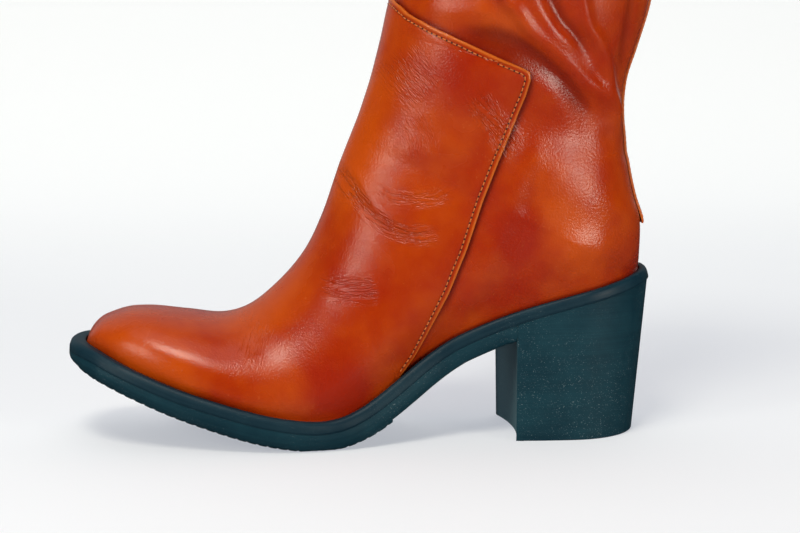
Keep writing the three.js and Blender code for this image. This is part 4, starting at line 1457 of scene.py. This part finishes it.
@dataclass
class FrontPanel:
    """The raised panel over toe, instep and lower shaft, with its raw edge and stitch row."""

    last: Last
    lift: float = 1.5
    underside: float = 0.06
    edge_round: float = 0.5
    seam_inset: float = 2.35
    channel: float = 0.16
    rows: int = 375
    columns: int = 104
    edge_width: float = 1.7
    hem: tuple[float, ...] = (1.0, 0.72, 0.5, 0.33, 0.2, 0.1, 0.04, 0.0)
    foot_step: int = 6
    base: Array = field(init=False)
    out: Array = field(init=False)
    gap: Array = field(init=False)
    raw_rows: Array = field(init=False)
    edge_line: Array = field(init=False)

    def border(self, rows: Array) -> Array:
        """Where each section leaves the panel.

        Args:
            rows: Section numbers.

        Returns:
            Share of the way from the front line to the rear line, 1 where it stays in the panel.
        """
        toe_rows = 12
        edge = PANEL_EDGE.columns
        corners = np.stack([self.last.along_x(edge["at"]), self.last.climb(edge["at"], edge["up"])], 1)
        ends = self.last.surface(rows, np.tile([0.0, 2.0], (len(rows), 1)))[..., [0, 2]]
        start, run = ends[:, 0], ends[:, 1] - ends[:, 0]
        way = np.where(rows < toe_rows, 1.0, 0.0)
        for a, b in zip(corners[:-1], corners[1:]):
            cross = run[:, 0] * (b - a)[1] - run[:, 1] * (b - a)[0]
            gap = a - start
            share = (gap[:, 0] * (b - a)[1] - gap[:, 1] * (b - a)[0]) / cross
            along = (gap[:, 0] * run[:, 1] - gap[:, 1] * run[:, 0]) / cross
            hit = (along >= 0) & (along <= 1) & (share > 0) & (share < 1)
            way = np.where(hit, share, way)
        return way

    def peak_row(self) -> float:
        """Where the raw edge crosses the front line.

        Returns:
            The section number.
        """
        fine = np.linspace(20, TOP_ROW, 901)
        gone = fine[self.border(fine) <= 0]
        above_bend = gone[gone > 22]
        return float(above_bend.min()) if len(above_bend) else TOP_ROW

    def shape(self) -> None:
        """Work out the panel's base, its raw edge and the distance to that edge."""
        last = self.last
        rows = last.even_rows(0, self.peak_row(), self.rows, (-1.4, -1, 0, 1))
        way = np.maximum(self.border(rows), 1e-4)
        self.raw_rows = way < 0.999
        limit = np.where(self.raw_rows, last.turn_of(rows, way), SEAT_TURN)
        ends = last.surface(rows, np.stack([-limit, limit], 1))
        near_end = last.surface(rows, np.stack([0.98 * limit, limit], 1))
        row_run = np.linalg.norm(np.diff(near_end, axis=1)[:, 0], axis=-1)
        inward = unit(near_end[:, 0] - ends[:, 1])
        along = unit(np.gradient(ends[:, 1], axis=0))
        slant = np.linalg.norm(np.cross(inward, along), axis=-1)
        length = np.maximum(25 * row_run + 20 * limit, 1.0)
        part = np.clip(self.edge_width / np.clip(slant, 0.15, 1) / length, 0.004, 0.45)[:, None]
        inner = np.linspace(0, 1, self.columns)[None, :-1] * (1 - part)
        shares = np.concatenate([inner, 1 - part * np.array(self.hem)], axis=1)
        self.base = last.closed_toe(last.surface(rows, last.even_turns(rows, limit, shares)))
        self.out = normals_of(self.base)
        self.edge_line = np.concatenate([ends[self.raw_rows, 0], ends[self.raw_rows, 1][::-1]])
        gap, _ = distance_to(self.base.reshape(-1, 3), self.edge_line)
        self.gap = gap.reshape(self.base.shape[:2])
        for column in (0, -1):
            self.gap[self.raw_rows, column] = 0

    def height(self) -> Array:
        """Height of the panel's face over the leather below it.

        Returns:
            The height of each point.
        """
        channel_width = 0.8
        inside = np.clip(1 - self.gap / self.edge_round, 0, 1)
        rounded = self.edge_round * (1 - np.sqrt(1 - inside**2 * 0.98))
        channel = self.channel * np.exp(-(((self.gap - self.seam_inset) / channel_width) ** 2))
        return self.lift - rounded - channel

    def dress(self, leather: bpy.types.Material, thread: MeshParts, holes: MeshParts, seam: Seam) -> None:
        """Make the panel and its stitch row.

        Args:
            leather: Its finish.
            thread: Takes the stitches.
            holes: Takes the needle holes.
            seam: The row's sizes.
        """
        fold = lift_of(self.base)
        crease = lift_of(self.base, WORN_LINES)
        top = self.base + self.out * (fold + self.height())[..., None]
        foot = self.base + self.out * (fold + self.underside)[..., None]
        raw = 0.85 - 0.85 * smooth(self.gap, 0.4, 1.3)
        # Painted shade along the groove of the stitch channel.
        channel = 0.3 * np.exp(-(((self.gap - self.seam_inset) / 0.7) ** 2))
        parts = MeshParts()
        parts.grid(top, fold=crease, raw=raw, shade=channel, blush=lift_of(self.base, PAINTED_LIGHT_AND_SHADE_LINES),
                   **crackle_of(self.base))
        for place in BORDERS:
            wall = np.stack([top[place], foot[place]])
            edge_raw = 1 - smooth(self.gap[place], 0.5, 3)
            parts.grid(wall, fold=np.tile(crease[place], (2, 1)), raw=np.stack([edge_raw, 0.2 * edge_raw]))
        coarse_rows = np.unique(np.concatenate([np.arange(0, len(foot), self.foot_step), [len(foot) - 1]]))
        parts.grid(foot[coarse_rows], fold=0.0, raw=0.0)
        parts.build("front_panel_leather", leather, "panel_leather", sharp=50.0, replaced=["front_panel"])
        self.sew(top, thread, holes, seam)

    def sew(self, top: Array, thread: MeshParts, holes: MeshParts, seam: Seam) -> None:
        """Lay the stitch row inside the raw edge.

        Args:
            top: The panel's outer face.
            thread: Takes the stitches.
            holes: Takes the needle holes.
            seam: The row's sizes.
        """
        core_depth = 30.0
        line = self.edge_line
        along = unit(np.gradient(line, axis=0))
        out = np.concatenate([self.out[self.raw_rows, 0], self.out[self.raw_rows, -1][::-1]])
        inward = unit(np.cross(out, along)) * self.seam_inset
        row, flipped = line + inward, line - inward
        middle = len(line) // 8
        row = row if row[middle, 0] < flipped[middle, 0] else flipped
        gap, _ = distance_to(row, line)
        keep = gap > self.seam_inset - 0.12
        keep[:2] = False
        keep[-2:] = False
        LOG.info("panel seam: %d of %d places", keep.sum(), len(line))
        seam.sew(row[keep], Skin(top), (line - out * core_depth)[keep], thread, holes)


@dataclass
class BackStrip:
    """The narrow strip over the back seam, with a stitch row along each side."""

    last: Last
    half_width: float = 7.5
    first_row: float = 18.0
    last_row: float = 28.75
    lift: float = 1.25
    underside: float = 0.25
    edge_round: float = 0.5
    seam_inset: float = 1.7
    end_length: float = 1.6
    rows: int = 190
    columns: int = 21
    core_depth: float = 20.0
    end_girth: float = 0.11
    end_ways: tuple[Span, ...] = ((0.5, 0.7), (-0.2, -0.9), (0.9, 0.1))

    def spread(self) -> Array:
        """Places of the columns across the strip, from -1 to 1 and closer towards its edges."""
        return np.sin(np.linspace(-np.pi / 2, np.pi / 2, self.columns))

    def shape(self) -> tuple[Array, Array, Array]:
        """Work out the strip's base.

        Returns:
            Its points, its outward directions and the distance to its edges.
        """
        rows = self.last.even_rows(self.first_row, self.last_row, self.rows, (-2.0, 2.0))
        spread = self.spread()
        half = self.last.halves(rows, (np.zeros(len(rows)), np.zeros(len(rows))))[0]
        place = np.abs(spread)[None, :] * self.half_width / half[:, None]
        turn = 1 + np.arccos(place ** (1 / self.last.fall_curve[1])) / (np.pi / 2)
        base = self.last.surface(rows, np.where(spread < 0, -1, 1) * turn)
        gap = self.half_width * (1 - np.abs(spread))[None, :]
        ends = np.minimum(base[..., 2] - base[:1, :, 2], base[-1:, :, 2] - base[..., 2])
        return base, normals_of(base), np.minimum(gap, ends)

    def dress(self, leather: bpy.types.Material, thread: MeshParts, holes: MeshParts, seam: Seam) -> None:
        """Make the strip, its stitch rows and the loose thread ends at its foot.

        Args:
            leather: Its finish.
            thread: Takes the stitches.
            holes: Takes the needle holes and the dark thread ends.
            seam: The row's sizes.
        """
        base, out, gap = self.shape()
        fold = lift_of(base)
        crease = lift_of(base, WORN_LINES)
        inside = np.clip(1 - gap / self.edge_round, 0, 1)
        rise = self.lift - self.edge_round * (1 - np.sqrt(1 - 0.98 * inside**2))
        top = base + out * (fold + rise)[..., None]
        foot = base + out * (fold + self.underside)[..., None]
        parts = MeshParts()
        parts.grid(top, fold=crease, raw=1 - smooth(gap, 0.1, 0.6))
        parts.grid(foot, fold=crease)
        for place in BORDERS:
            parts.grid(np.stack([top[place], foot[place]]), fold=np.tile(crease[place], (2, 1)), raw=0.7)
        parts.build("back_strip_leather", leather, "leather", sharp=50.0, replaced=["back_strip"])
        skin = Skin(top)
        core = base - out * self.core_depth
        for side in (1, -1):
            share = 1 - self.seam_inset / self.half_width
            at = np.interp(side * share, self.spread(), np.arange(self.columns))
            low = int(at)
            row = mix(top[:, low], top[:, low + 1], at - low)
            seam.sew(row[2:-3], skin, core[2:-3, low], thread, holes)
        self.thread_ends(foot[0], holes)

    def thread_ends(self, edge: Array, parts: MeshParts) -> None:
        """Add the loose ends of thread.

        Args:
            edge: The lowest edge of the strip.
            parts: Takes the ends.
        """
        sides = 5
        run = np.linspace(0, 1, 6)[:, None]
        angle = np.arange(sides) * np.pi * 2 / sides
        ring = np.stack([0 * angle, np.cos(angle), np.sin(angle)], 1) * self.end_girth
        for number, (lean, turn) in enumerate(self.end_ways):
            start = edge[self.columns // 2 - 2 + 2 * number] + np.array([0.3, 0, 0.2])
            way = np.array([[0.85, 0.5 * turn, -0.3 + lean]]) * self.end_length
            path = start + way * run + np.array([[0, 0, -0.5]]) * run**2
            tube = path[:, None] + ring[None] * (1 - 0.6 * run)[..., None]
            parts.grid(tube, wrap_columns=True)
            parts.add(tube[[0, -1]].reshape(-1, 3), [list(range(sides)), list(range(sides, 2 * sides))])


@dataclass
class SoleUnit:
    """Midsole with its rim, outsole and heel block."""

    last: Last
    midsole_depth: float = 4.9
    outsole_depth: float = 6.9
    gap: float = 0.3
    tread_step: float = 0.9
    pad_end: float = 0.522
    groove_pitch: float = 4.2
    groove_depth: float = 0.7
    breast_setback: float = 61.4
    breast_hollow: float = 4.2
    breast_skew: float = 0.05
    heel_taper: float = 0.086
    heel_edge: float = 0.8
    corner: float = 2.5
    corner_share: float = 0.55
    seat_clear: float = 0.04
    level_foot: float = 3.0
    level_top: float = 100.0
    slot_start: float = 0.62
    slot_full: float = 0.95
    heel_layer: float = 40.0

    @property
    def heel_at(self) -> float:
        """Share of the sole's length at which the heel block starts."""
        return 1 - self.breast_setback / self.last.sole_length

    def slab_mesh(self, parts: MeshParts, grid: Array, layer: Array,
                  bottom: Optional[Callable[[Array], Array]] = None) -> None:
        """Add a closed slab from its loop of profiles.

        Args:
            parts: Takes the slab.
            grid: Loop places by profile points.
            layer: Depth of each profile point.
            bottom: Moves the points of the underside, or nothing for a flat one.
        """
        parts.grid(grid, wrap_rows=True, layer=layer)
        half = len(grid) // 2
        outer, inner = grid[:half], grid[half:][::-1]
        for column, shift in ((0, None), (-1, bottom)):
            share = np.linspace(0, 1, 26 if shift else 8)[None, :, None]
            cap = mix(outer[:, None, column], inner[:, None, column], share)
            parts.grid(shift(cap) if shift else cap, layer=float(layer.max()))

    def midsole(self, finish: bpy.types.Material) -> None:
        """Make the midsole with its ledge and recess.

        Args:
            finish: Its finish.
        """
        last = self.last
        ats = last.stations(120, 160)
        ledge = last.ledge_at(ats)
        turn = np.linspace(0, np.pi / 2, 8)
        wall = ledge - self.gap
        insets = [wall, wall, wall - 0.12, wall - 0.4, 0.7 * ledge]
        depths = [last.recess_depth, 0.4, 0.1, 0.0, -0.04]
        for a in turn:
            insets.append(0.38 * ledge * (1 - math.sin(a)))
            depths.append(0.62 * self.midsole_depth * (1 - math.cos(a)))
        insets += [0 * ledge, 0 * ledge, 0 * ledge + 0.06]
        depths += [0.8 * self.midsole_depth, self.midsole_depth - 0.06, self.midsole_depth]
        depth = np.broadcast_to(np.array(depths, float), (len(ats), len(depths)))
        grid = last.slab(ats, np.stack(insets, 1), depth)
        parts = MeshParts()
        self.slab_mesh(parts, grid, np.concatenate([depth, depth]))
        parts.build("midsole_rubber", finish, "rim_rubber", sharp=55.0, replaced=["midsole"])

    def groove(self, places: Array) -> Array:
        """Depth of the tread grooves.

        Args:
            places: Places seen from below.

        Returns:
            The depth at each place.
        """
        sway, sway_length = 1.1, 7.0
        x, y = places[..., 0], places[..., 1]
        wave = np.abs(((x + sway * np.sin(y / sway_length)) / self.groove_pitch) % 1.0 - 0.5) * 2
        return self.groove_depth * smooth(wave, self.slot_start, self.slot_full)

    def on_pad(self, at: Array) -> Array:
        """1 on the tread pad and 0 behind its step."""
        return smooth(at, self.pad_end + 0.001, self.pad_end - 0.002)

    def treaded(self, cap: Array) -> Array:
        """Cut the grooves into the outsole's underside.

        Args:
            cap: Points of the underside.

        Returns:
            The moved points.
        """
        deeper = self.groove(cap) * self.on_pad(self.last.share_of(cap[..., 0]))
        cap = cap.copy()
        cap[:, 1:-1, 2] += deeper[:, 1:-1]
        cap[..., 2] = np.maximum(cap[..., 2], 0.0)
        return cap

    def outsole(self, parts: MeshParts) -> None:
        """Add the outsole with its tread pad.

        Args:
            parts: Takes the outsole.
        """
        last = self.last
        heel_at = self.heel_at
        ats = np.sort(np.concatenate([last.stations(110, 420), [self.pad_end, self.pad_end + 0.0012]]))
        side = Table("share inset", [(0, 0), (0.35, 0.15), (0.66, 0.9), (0.88, 2.2), (1.0, 4.6)], "share")
        shares = np.concatenate([[0.0], np.linspace(0.03, 1, 13)])
        thin = mix(0.76, 1.0, smooth(ats, 0.05, 0.38))
        pad = np.where(ats <= self.pad_end, self.tread_step, 0.0) * smooth(ats, 0.0, 0.02)
        thickness = self.outsole_depth * thin + self.gap
        depth = self.midsole_depth + self.seat_clear + thickness[:, None] * shares
        depth = depth + pad[:, None] * smooth(shares, 0.8, 1.0)
        into_heel = smooth(ats, heel_at - 0.03, heel_at + 0.006)[:, None]
        lower = 1 - last.rim_height(ats)[:, None] / last.heel_rise + depth / last.heel_rise
        heel_side = self.heel_taper * lower * last.seat_width / 2 + 0.15
        inset = mix(side.read("inset", shares)[None, :], heel_side, into_heel)
        inset = inset + 1.5 * smooth(ats, heel_at + 0.004, heel_at + 0.022)[:, None]
        inset = np.concatenate([inset[:, :1] + 0.25, inset], axis=1)
        depth = np.concatenate([depth[:, :1], depth], axis=1)
        kept = ats < heel_at + 0.05
        both = np.concatenate([kept, kept[::-1]])
        tread = np.concatenate([ats, ats[::-1]])[both]
        layer = np.concatenate([depth, depth[::-1]])[both]
        grid = last.slab(ats, inset, depth)[both]
        cut = self.groove(grid[:, -1]) * self.on_pad(tread)
        grid[:, -1, 2] += 0.5 * cut
        grid[:, -2, 2] += 0.2 * cut
        grid[..., 2] = np.maximum(grid[..., 2], 0.0)
        self.slab_mesh(parts, grid, layer, self.treaded)

    def breast_x(self, y: Array) -> Array:
        """The hollow front of the heel block from above."""
        hollow = self.breast_hollow * (1 - (y / (0.5 * self.last.seat_width)) ** 2)
        return self.last.along_x(self.heel_at) - self.breast_skew * y + hollow

    def underside(self, x: Array) -> Array:
        """Height of the midsole's underside.

        Args:
            x: Places along the boot.

        Returns:
            The height over each place.
        """
        there = np.clip(self.last.share_of(x), 0, 1)
        down = self.last.sole_down(there)
        return self.last.rim_height(there) - (self.midsole_depth + self.seat_clear) / -down[..., 2]

    def level_height(self, level: float, x: Array) -> Array:
        """Height of a level of the heel block, flat at its foot and led up to the midsole.

        Args:
            level: The level, from 0 at the floor to the top level under the midsole.
            x: Places along the boot.

        Returns:
            The height over each place.
        """
        if level <= self.level_foot:
            return np.full(np.shape(x), level)
        share = (level - self.level_foot) / (self.level_top - self.level_foot)
        return mix(self.level_foot, self.underside(x), share)

    def heel(self, parts: MeshParts) -> None:
        """Add the heel block from the floor up to the midsole.

        Args:
            parts: Takes the heel block.
        """
        last = self.last
        pivot = float(last.along_x(self.heel_at))
        ats = mix(self.heel_at, 1 - last.tip, np.sin(np.linspace(0, np.pi / 2, 40)))
        _, loop, out = last.outline(ats)
        turn = np.linspace(0.3, np.pi / 2, 6)
        sides = np.linspace(self.level_foot, self.level_top, 48)
        levels = np.concatenate([[0.0], self.heel_edge * (1 - np.cos(turn)), sides])
        insets = np.concatenate([[self.heel_edge], self.heel_edge * (1 - np.sin(turn)), 0 * sides])
        rings = []
        for level, inset in zip(levels, insets):
            height = np.full(len(loop), level)
            for _ in range(3):
                scale = 1 - self.heel_taper * (1 - height / last.heel_rise)
                x = pivot + (loop[:, 0] - out[:, 0] * inset - pivot) * scale
                height = self.level_height(level, x)
            y = (loop[:, 1] - out[:, 1] * inset) * scale
            rings.append(self.ring(x, y, height, inset, level))
        grid = np.array(rings)
        column = np.arange(grid.shape[1])
        # Columns of the hollow front, painted paler as dust and painted sheen.
        dusty = within(column, (len(loop) + 2, len(loop) + 8), (grid.shape[1] - 8, grid.shape[1] - 2))
        parts.grid(grid, wrap_columns=True, layer=self.heel_layer + grid[..., 2], dusty=dusty)
        self.heel_caps(parts, grid)

    def ring(self, x: Array, y: Array, height: Array, inset: float, level: float) -> Array:
        """Close one ring of the heel block with its hollow front.

        Args:
            x: Places of the side and back along X.
            y: Places of the side and back along Y.
            height: Their heights.
            inset: How far the ring is set in.
            level: The ring's own level.

        Returns:
            The whole ring.
        """
        inner_end, outer_end = y[-1], y[0]
        x = x.copy()
        bend = np.linspace(0, 1, 7)[1:, None]
        runs, inner_ys = [], []
        for place, end in ((-1, inner_end), (0, outer_end)):
            inner_y = end - math.copysign(self.corner_share * self.corner, end)
            x[place] = self.breast_x(end) + self.corner + inset
            a = np.array([x[place], end])
            b = np.array([self.breast_x(end) + inset, end])
            c = np.array([self.breast_x(inner_y) + inset, inner_y])
            runs.append((1 - bend) ** 2 * a + 2 * bend * (1 - bend) * b + bend**2 * c)
            inner_ys.append(inner_y)
        middle = np.linspace(*inner_ys, 30)[1:-1]
        hollow = np.stack([self.breast_x(middle) + inset, middle], 1)
        front = np.concatenate([runs[0], hollow, runs[1][::-1]])
        front_z = self.level_height(level, front[:, 0])
        return np.concatenate([point(x, y, height), point(front[:, 0], front[:, 1], front_z)])

    def heel_caps(self, parts: MeshParts, grid: Array) -> None:
        """Close the heel block and cut shallow grooves into the foot of it.

        Args:
            parts: Takes the faces.
            grid: The rings of the heel block, from the floor up.
        """
        floor_shares = [1.0, 0.93, 0.9, *np.linspace(0.84, 0.0, 22)]
        for ring, shares in ((grid[0], floor_shares), (grid[-1], [1.0, 0.5, 0.0])):
            middle = ring.mean(axis=0)
            cap = np.array([mix(middle, ring, share) for share in shares])
            if shares is floor_shares:
                cap[..., 2] += self.groove(cap) * smooth(np.array(shares), 0.93, 0.88)[:, None]
            parts.grid(cap, wrap_columns=True, layer=self.heel_layer)

    def dress(self, rim: bpy.types.Material, sole: bpy.types.Material) -> None:
        """Make the midsole, and the outsole and heel as one piece.

        Args:
            rim: Finish of the midsole.
            sole: Finish of the outsole and heel.
        """
        self.midsole(rim)
        parts = MeshParts()
        self.outsole(parts)
        self.heel(parts)
        parts.build("outsole_and_heel_rubber", sole, "sole_rubber", sharp=38.0, replaced=["outsole", "heel"])


@dataclass
class Insole:
    """The inner sole that the foot stands on."""

    last: Last
    clearance: float = 3.3
    thickness: float = 3.0
    gap: float = 0.3

    def dress(self, lining: bpy.types.Material) -> None:
        """Make the insole with a rounded upper edge.

        Args:
            lining: Its finish.
        """
        ats = self.last.stations(90, 60)
        inset = self.last.feather_inset(ats) + self.clearance
        base = self.last.recess_depth - self.gap
        insets = np.stack([inset + 1.6, inset + 0.8, inset + 0.25, inset, inset], 1)
        depths = base - self.thickness + np.array([0.0, 0.06, 0.35, 0.9, self.thickness])
        grid = self.last.slab(ats, insets, np.broadcast_to(depths, insets.shape))
        parts = MeshParts()
        parts.grid(grid, wrap_rows=True)
        half = len(grid) // 2
        for column in (0, -1):
            share = np.linspace(0, 1, 12)[None, :, None]
            parts.grid(mix(grid[:half, None, column], grid[half:][::-1][:, None, column], share))
        parts.build("insole_leather", lining, "lining", replaced=["insole"])


@dataclass(frozen=True)
class Lamp:
    """One soft light."""

    name: str
    place: Triple
    aim: Triple
    size: float
    power: float
    tall: float = 1.0
    tint: Colour = (1.0, 0.97, 0.86)


@dataclass
class Studio:
    """Floor, backdrop, soft lights and camera."""

    target: Triple = (0.01525, 0.0, 0.071)
    azimuth: float = -5.0
    pitch: float = 8.5
    distance: float = 0.88
    lens: float = 92.7
    sensor: float = 36.0
    room: float = 0.03
    floor_far: Colour = (0.655, 0.67, 0.67)
    floor_near: Colour = (0.39, 0.407, 0.45)
    floor_grey: float = 0.42
    lamps: tuple[Lamp, ...] = (
        Lamp("left_box", (-0.95, -0.77, 0.465), (0.0, 0.0, 0.12), 0.24, 6.2, 2.6),
        Lamp("high_box", (-0.28, -0.7, 1.13), (0.0, 0.0, 0.1), 0.36, 10.5, 1.0),
        Lamp("right_box", (0.82, -0.96, 0.25), (0.03, 0.0, 0.12), 0.32, 7.6, 1.3),
        Lamp("top_box", (-0.1, -0.2, 1.7), (0.0, 0.0, 0.0), 1.2, 6.0, 1.0, WHITE),
        Lamp("back_card", (0.0, 1.4, 0.9), (0.0, 0.0, 0.1), 3.2, 6.0, 0.6, WHITE),
    )

    def floor(self) -> None:
        """Lay a wide pale sweep that rises behind the boot and grows brighter there."""
        bend = np.linspace(0, np.pi / 2, 16)
        y = np.concatenate([[-6, -2, -0.8, -0.3, 0, 0.4], 0.8 + 0.9 * np.sin(bend), [1.7]])
        z = np.concatenate([np.zeros(6), 0.9 * (1 - np.cos(bend)), [6.0]])
        x = np.array([-8.0, -3, -1, -0.3, 0, 0.3, 1, 3, 8])
        grid = point(x[None, :], y[:, None], z[:, None])
        mesh = bpy.data.meshes.new("floor")
        mesh.from_pydata(grid.reshape(-1, 3).tolist(), [], quads_of(*grid.shape[:2]))
        mesh.shade_smooth()
        graph = Graph("pale_floor")
        place = graph.node("ShaderNodeSeparateXYZ", {}, {"Vector": graph.place()}, "Y")
        mesh.materials.append(graph.surface({
            "Base Color": as_colour(self.floor_grey), "Roughness": 0.9,
            "Emission Color": place.band(0.0, 1.2).blend(self.floor_near, self.floor_far),
            "Emission Strength": 1.0,
        }))
        floor = bpy.data.objects.new("floor", mesh)
        floor.visible_glossy = False
        bpy.context.scene.collection.objects.link(floor)

    def light(self) -> None:
        """Hang the soft lights in a dim room."""
        for lamp in self.lamps:
            data = bpy.data.lights.new(lamp.name, "AREA")
            data.shape = "RECTANGLE"
            data.size = lamp.size
            data.size_y = lamp.size * lamp.tall
            data.energy = lamp.power
            data.color = lamp.tint
            hung = bpy.data.objects.new(lamp.name, data)
            hung.location = lamp.place
            hung.rotation_euler = (Vector(lamp.aim) - Vector(lamp.place)).to_track_quat("-Z", "Y").to_euler()
            hung.visible_camera = False
            bpy.context.scene.collection.objects.link(hung)
        world = bpy.data.worlds.new("room")
        world.use_nodes = True
        world.node_tree.nodes["Background"].inputs["Color"].default_value = as_colour(self.room)
        bpy.context.scene.world = world
        bpy.context.scene.view_settings.view_transform = "Standard"

    def camera(self) -> None:
        """Set up the camera at the photo's angle."""
        data = bpy.data.cameras.new("camera")
        data.lens = self.lens
        data.sensor_width = self.sensor
        data.clip_start = 0.05
        data.clip_end = 50.0
        turn, lean = math.radians(self.azimuth), math.radians(self.pitch)
        way = Vector((math.sin(turn) * math.cos(lean), -math.cos(turn) * math.cos(lean), math.sin(lean)))
        held = bpy.data.objects.new("camera", data)
        held.location = Vector(self.target) + way * self.distance
        held.rotation_euler = (-way).to_track_quat("-Z", "Y").to_euler()
        bpy.context.scene.collection.objects.link(held)
        bpy.context.scene.camera = held


def main() -> None:
    """Build the boot around its frame, piece by piece."""
    logging.basicConfig(level=logging.INFO, format="%(message)s")
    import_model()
    studio = Studio()
    studio.camera()
    studio.floor()
    studio.light()
    last = Last()
    SECTIONS.spaced(last.section_places())
    leather = LeatherFinish().make()
    panel_leather = LeatherFinish("panel_leather", roughness=0.22, grain_depth=0.12).make()
    rim = RubberFinish("rim_rubber", (0.001, 0.014, 0.026), (0.006, 0.027, 0.041), 0.25, 0.42, 0.35).make()
    sole = RubberFinish("sole_rubber", (0.0005, 0.019, 0.032), (0.004, 0.036, 0.052), 0.5, 0.5, 0.5).make()
    lining = PlainFinish("pale_lining", (0.42, 0.27, 0.15), (0.55, 0.38, 0.23), 0.75, 90.0, 0.00004).make()
    thread_finish = PlainFinish("orange_thread", (0.4, 0.085, 0.01), (0.52, 0.14, 0.02),
                                0.6, 900.0, 0.00003).make()
    # Needle holes are raised dark dishes: painted shade of the holes.
    hole_shade_finish = PlainFinish("needle_hole_shade", (0.02, 0.004, 0.002), (0.04, 0.008, 0.003),
                              0.9, 900.0, 0.00001).make()
    thread, holes, seam = MeshParts(), MeshParts(), Seam()
    panel = FrontPanel(last)
    panel.shape()
    panel.dress(panel_leather, thread, holes, seam)
    upper = Upper(last)
    upper.shape(panel.edge_line)
    upper.dress(leather, lining, thread, holes, seam)
    BackStrip(last).dress(leather, thread, holes, Seam(thread=0.22, rise=0.06))
    SoleUnit(last).dress(rim, sole)
    Insole(last).dress(lining)
    thread.build("stitches", thread_finish, "thread", weld=FINE_WELD)
    holes.build("needle_holes", hole_shade_finish, "thread", weld=FINE_WELD)


if __name__ == "__main__":
    main()
